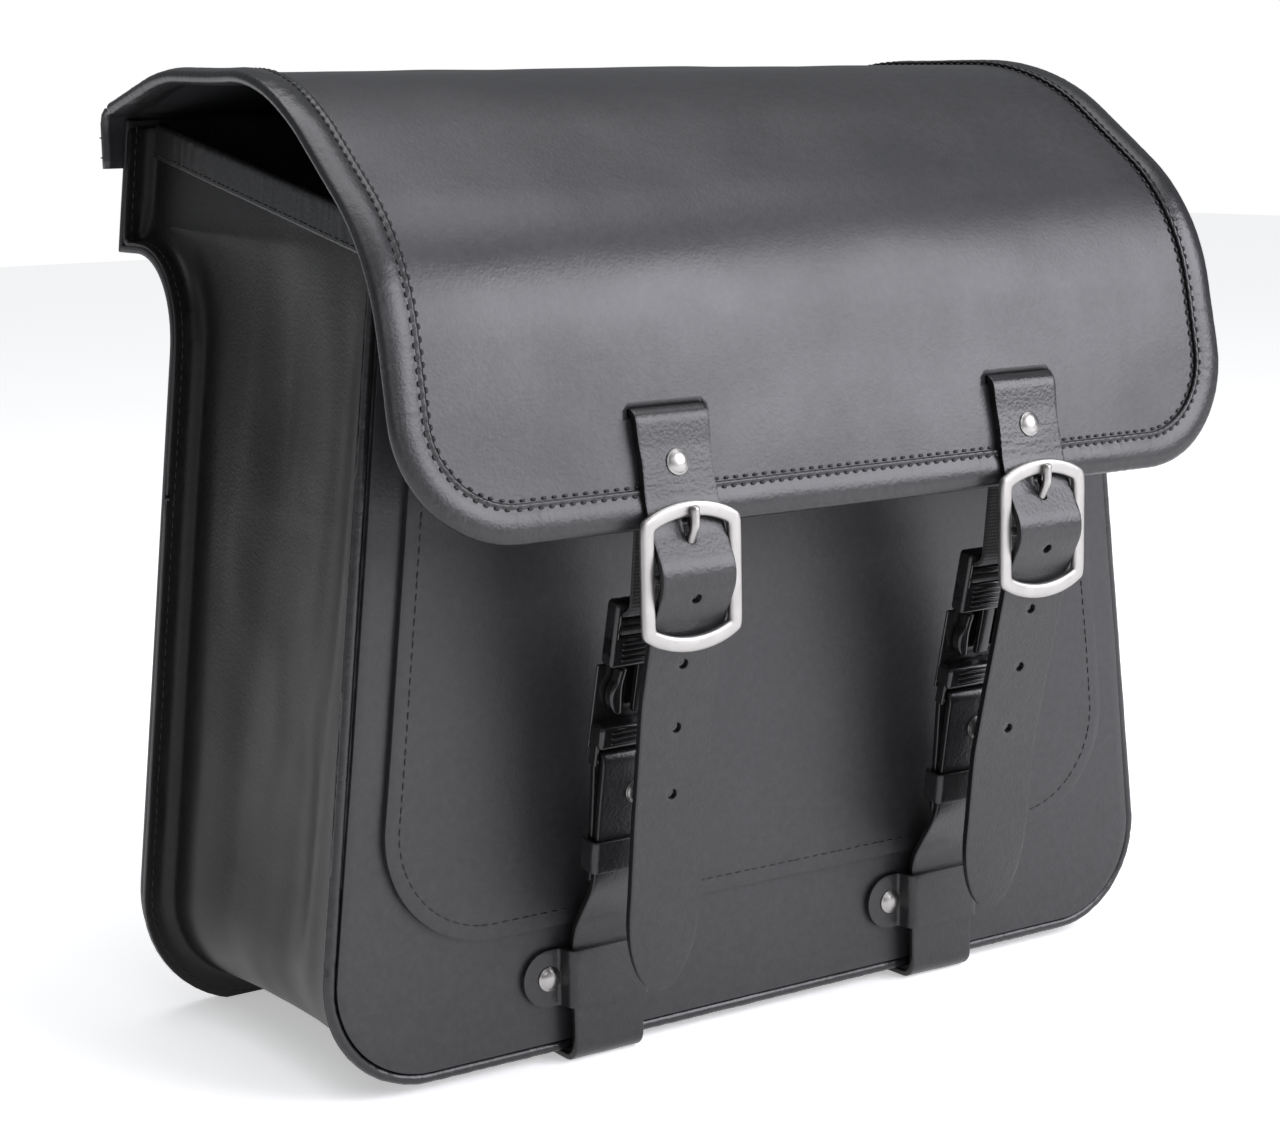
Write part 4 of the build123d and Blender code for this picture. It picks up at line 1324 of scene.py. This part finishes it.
for side, hand in sides.items():
    lie = clip_lie(hand * strap_x)
    shape = bmesh.new()
    moulded(shape, lie, (-19, 0.2, -4), (19, 14.3, 4), 1.6)
    moulded(shape, lie, (-17, 17.7, -3.4), (17, 21.6, 3.4), 1.4)
    moulded(shape, lie, (-19, 24.6, -4), (19, 28.7, 4), 1.6)
    for end in sides.values():
        low, high = sorted((end * 15.9, end * 19.0))
        moulded(shape, lie, (low, 4, -4), (high, 28.2, 4), 1.4)
    for up in (3.2, 5.6, 8.0, 10.4):
        moulded(shape, lie, (-14.5, up, 3.2), (14.5, up + 1.2, 4.7), 0.5, 2)
    moulded(shape, lie, (-3.5, -22, -1.5), (3.5, 2, 1.5), 0.8)
    clip_piece(f"clip_male_{side}", shape, f"clip_{side}", f"male_clip_{side}")

    for end, way in sides.items():
        shape = bmesh.new()
        arm_line = arc_path([(way * 11.0, -1.5), (way * 12.4, -9), (way * 11.2, -21.4)], [30], 1.0)
        runs = directions(arm_line)

        def where(u, v, lie=lie, arm_line=arm_line, runs=runs, way=way):
            i = round(v * (len(arm_line) - 1))
            share = i / (len(arm_line) - 1)
            bulge = 2.6 * max(0.0, math.sin(math.pi * (share - 0.32) / 0.68)) ** 0.7 if share > 0.32 else 0.0
            angle = 2 * math.pi * u
            c, s = math.cos(angle), math.sin(angle)
            across = (1.5 + bulge) * math.copysign(abs(c) ** 0.5, c)
            if across * way < 0:
                across = 1.5 * math.copysign(abs(c) ** 0.5, c)
            out = 2.9 * math.copysign(abs(s) ** 0.5, s)
            p = arm_line[i]
            return lie @ (Vector((p.x + across, p.y, out)) * mm)

        made = sheet(24, len(arm_line) - 1, where, closed=True)
        piece = mesh_piece(f"clip_arm_{side}_{end}_moulding", made, nylon)
        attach(piece, f"arm_{side}_{end}")
        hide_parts(f"clip_arm_{side}_{end}")

    shape = bmesh.new()
    moulded(shape, lie, (-20, -36.3, -5), (20, -26, 5), 2.0)
    moulded(shape, lie, (-20, -38, -5), (20, -0.9, -3.6), 0.6)
    moulded(shape, lie, (-18.2, -44.5, -1.4), (18.2, -41.7, 1.4), 1.0)
    for end in sides.values():
        low, high = sorted((end * 18.25, end * 20.0))
        moulded(shape, lie, (low, -44.5, -2.6), (high, -34, 2.6), 0.8)
    for up in (-33.8, -31.4, -29.0):
        moulded(shape, lie, (-15, up, 4.2), (15, up + 1.1, 5.6), 0.5, 2)
    clip_piece(f"clip_tray_{side}", shape, "bag", f"female_clip_{side}")


# ---- Lower straps ----------------------------------------------------------------------------
# Folded round the clip's bar, riveted and held by a loop, then down under the keeper and beneath
# the bag, where the end is riveted. They run in soft waves, not straight.
under = rest_z + strap_thick / 2
clip_bar_up = -43.1
fold_r = 3.8
fold_up = clip_bar_up + fold_r
fold_top = on_clip(fold_up, 0)


def lower_line():
    path = [
        (-21.1, 78), on_clip(fold_up, -fold_r), on_clip(fold_up, fold_r), (-24.1, 78), (-7, 52),
        (-7, under), (70, under), (95, 2.5), (145, 2.5),
    ]
    return arc_path(path, [3.7, 3.7, 34, 26, 6, 40, 40], 0.8)


for side, hand in sides.items():
    line = lower_line()
    long, at = follow(line)
    rows = [i * 1.6 for i in range(int(long / 1.6))] + [long]
    low_start = next(i * 0.8 for i, p in enumerate(line) if i > 60 and p.y < 74)

    def wave(x, s):
        front = math.exp(-((s - low_start - 2) / 16) ** 2)
        ripple = 0.8 * front * math.sin(x / strap_half * 1.9 + 0.5)
        return ripple + 0.25 * ruffle((x, s, 0), 16, 30.0 + hand) * (1 if s > 12 else 0)

    strap = cut_strip(
        f"lower_strap_{side}_hide", line, rows, lambda s: strap_half, across(hand * strap_x), wave, 18
    )
    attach(strap, "bag")
    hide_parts(f"lower_strap_{side}")


# ---- Fold keepers and their rivets -----------------------------------------------------------
# A narrow stitched loop of the same hide round both layers of each fold, and a dome rivet through
# the fold above it.
def fold_middle(z):
    share = (z - 78) / (fold_top.y - 78)
    return -22.6 + share * (fold_top.x + 22.6), 1.5 + share * 2.3


loop_z = 90
fold_rivet_z = 117
fold_lean = math.atan2(fold_middle(loop_z)[0] - fold_middle(fold_rivet_z)[0], fold_rivet_z - loop_z)
for side, hand in sides.items():
    middle, apart = fold_middle(loop_z)
    wide, deep = strap_half + 1.4, apart + 1.4 + 1.5
    loop_corners = [(wide, deep), (wide, -deep), (-wide, -deep), (-wide, deep)]
    ring = arc_path([(0, deep)] + loop_corners + [(0, deep)], [1.8] * 4, 0.9)
    spin = Matrix.Rotation(fold_lean, 4, "X")
    seat = Matrix.Translation(place(hand * strap_x, middle, loop_z)) @ spin

    def where(u, v, ring=ring, seat=seat):
        p = ring[round(v * (len(ring) - 1))]
        up = (2 * u - 1) * 7.0
        puff = 0.25 * math.cos(math.pi * (u - 0.5))
        return seat @ (Vector((p.x * (1 + puff / 20), p.y * (1 + puff / 8), up)) * mm)

    def flat(u, v, ring=ring):
        return ((2 * u - 1) * strap_half * mm, v * len(ring) * 0.9 * mm)

    loop = sheet(8, len(ring) - 1, where, flat)
    bmesh.ops.remove_doubles(loop, verts=loop.verts, dist=1e-6)
    keeper = mesh_piece(f"fold_keeper_{side}_hide", loop, strap_leather)
    thicken(keeper, 2.0, offset=0.0, edge=0.5)
    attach(keeper, "bag")
    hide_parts(f"fold_keeper_{side}")

spots = []
for hand in sides.values():
    middle, apart = fold_middle(fold_rivet_z)
    face = Vector((0, -math.cos(fold_lean), -math.sin(fold_lean)))
    lift = apart + 1.5
    seat = place(hand * strap_x, middle, fold_rivet_z) + face * (lift * mm)
    spots.append((seat, face, 2 * lift + 0.3))
rivets("fold_rivet_caps", spots, "bag", "fold_rivets")


# ---- Lower keepers ---------------------------------------------------------------------------
# 25 mm strips with a round riveted end, arched over the strap and tucked through a slot in the
# panel to the back of the rivet.
keeper_half = 12.5
keeper_thick = 2.4


def keeper_line():
    over = -7 - strap_thick / 2 - 0.1 - keeper_thick / 2
    edge = strap_half + 1.3
    path = [
        (-38.7, -1.35), (-edge - 1.2, -1.35), (-edge, over), (edge, over), (edge + 1.2, -1.35),
        (23.5, -1.35), (23.5, 5.4), (-35.7, 5.4),
    ]
    return arc_path(path, [2.2, 2.0, 2.0, 2.2, 1.2, 1.2], 0.8)


for side, hand in sides.items():
    line = keeper_line()
    long, at = follow(line)
    rows = [keeper_half * (1 - math.cos(math.pi / 2 * i / 14)) for i in range(14)]
    rows += [keeper_half + i * 1.1 for i in range(int((long - keeper_half) / 1.1))] + [long]

    def half(s):
        return keeper_half * math.sqrt(max(0.0004, 1 - (1 - min(s, keeper_half) / keeper_half) ** 2))

    def wave(x, s):
        return 0.2 * ruffle((x, s, 0), 14, 40.0 + hand)

    strip = cut_strip(
        f"lower_keeper_{side}_hide", line, rows, half,
        lambda p, x, x0=hand * strap_x: place(x0 + p.x, p.y, keeper_z + x), wave, thick=keeper_thick,
    )
    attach(strip, "bag")
    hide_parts(f"lower_keeper_{side}")


# ---- Backing board and washers ---------------------------------------------------------------
# Inside the back, a 3 mm pressed fibre board spreads the load of four plated steel washers. Both
# keep their CAD shapes.
board, fibre, board_shader = new_material("fibre_board")
strands = clouds(fibre, object_spot(fibre), 420.0, 6.0, 0.8)
colour = mix(fibre, strands, (0.035, 0.026, 0.020), (0.085, 0.065, 0.048))
fibre.links.new(colour, board_shader.inputs["Base Color"])
add_relief(fibre, board_shader, strands, 0.3, 0.3)
board_shader.inputs["Roughness"].default_value = 0.8
for node_name, finish in (("backing_board", board), ("mount_washers", satin_nickel)):
    for material_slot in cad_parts[node_name].material_slots:
        material_slot.material = finish
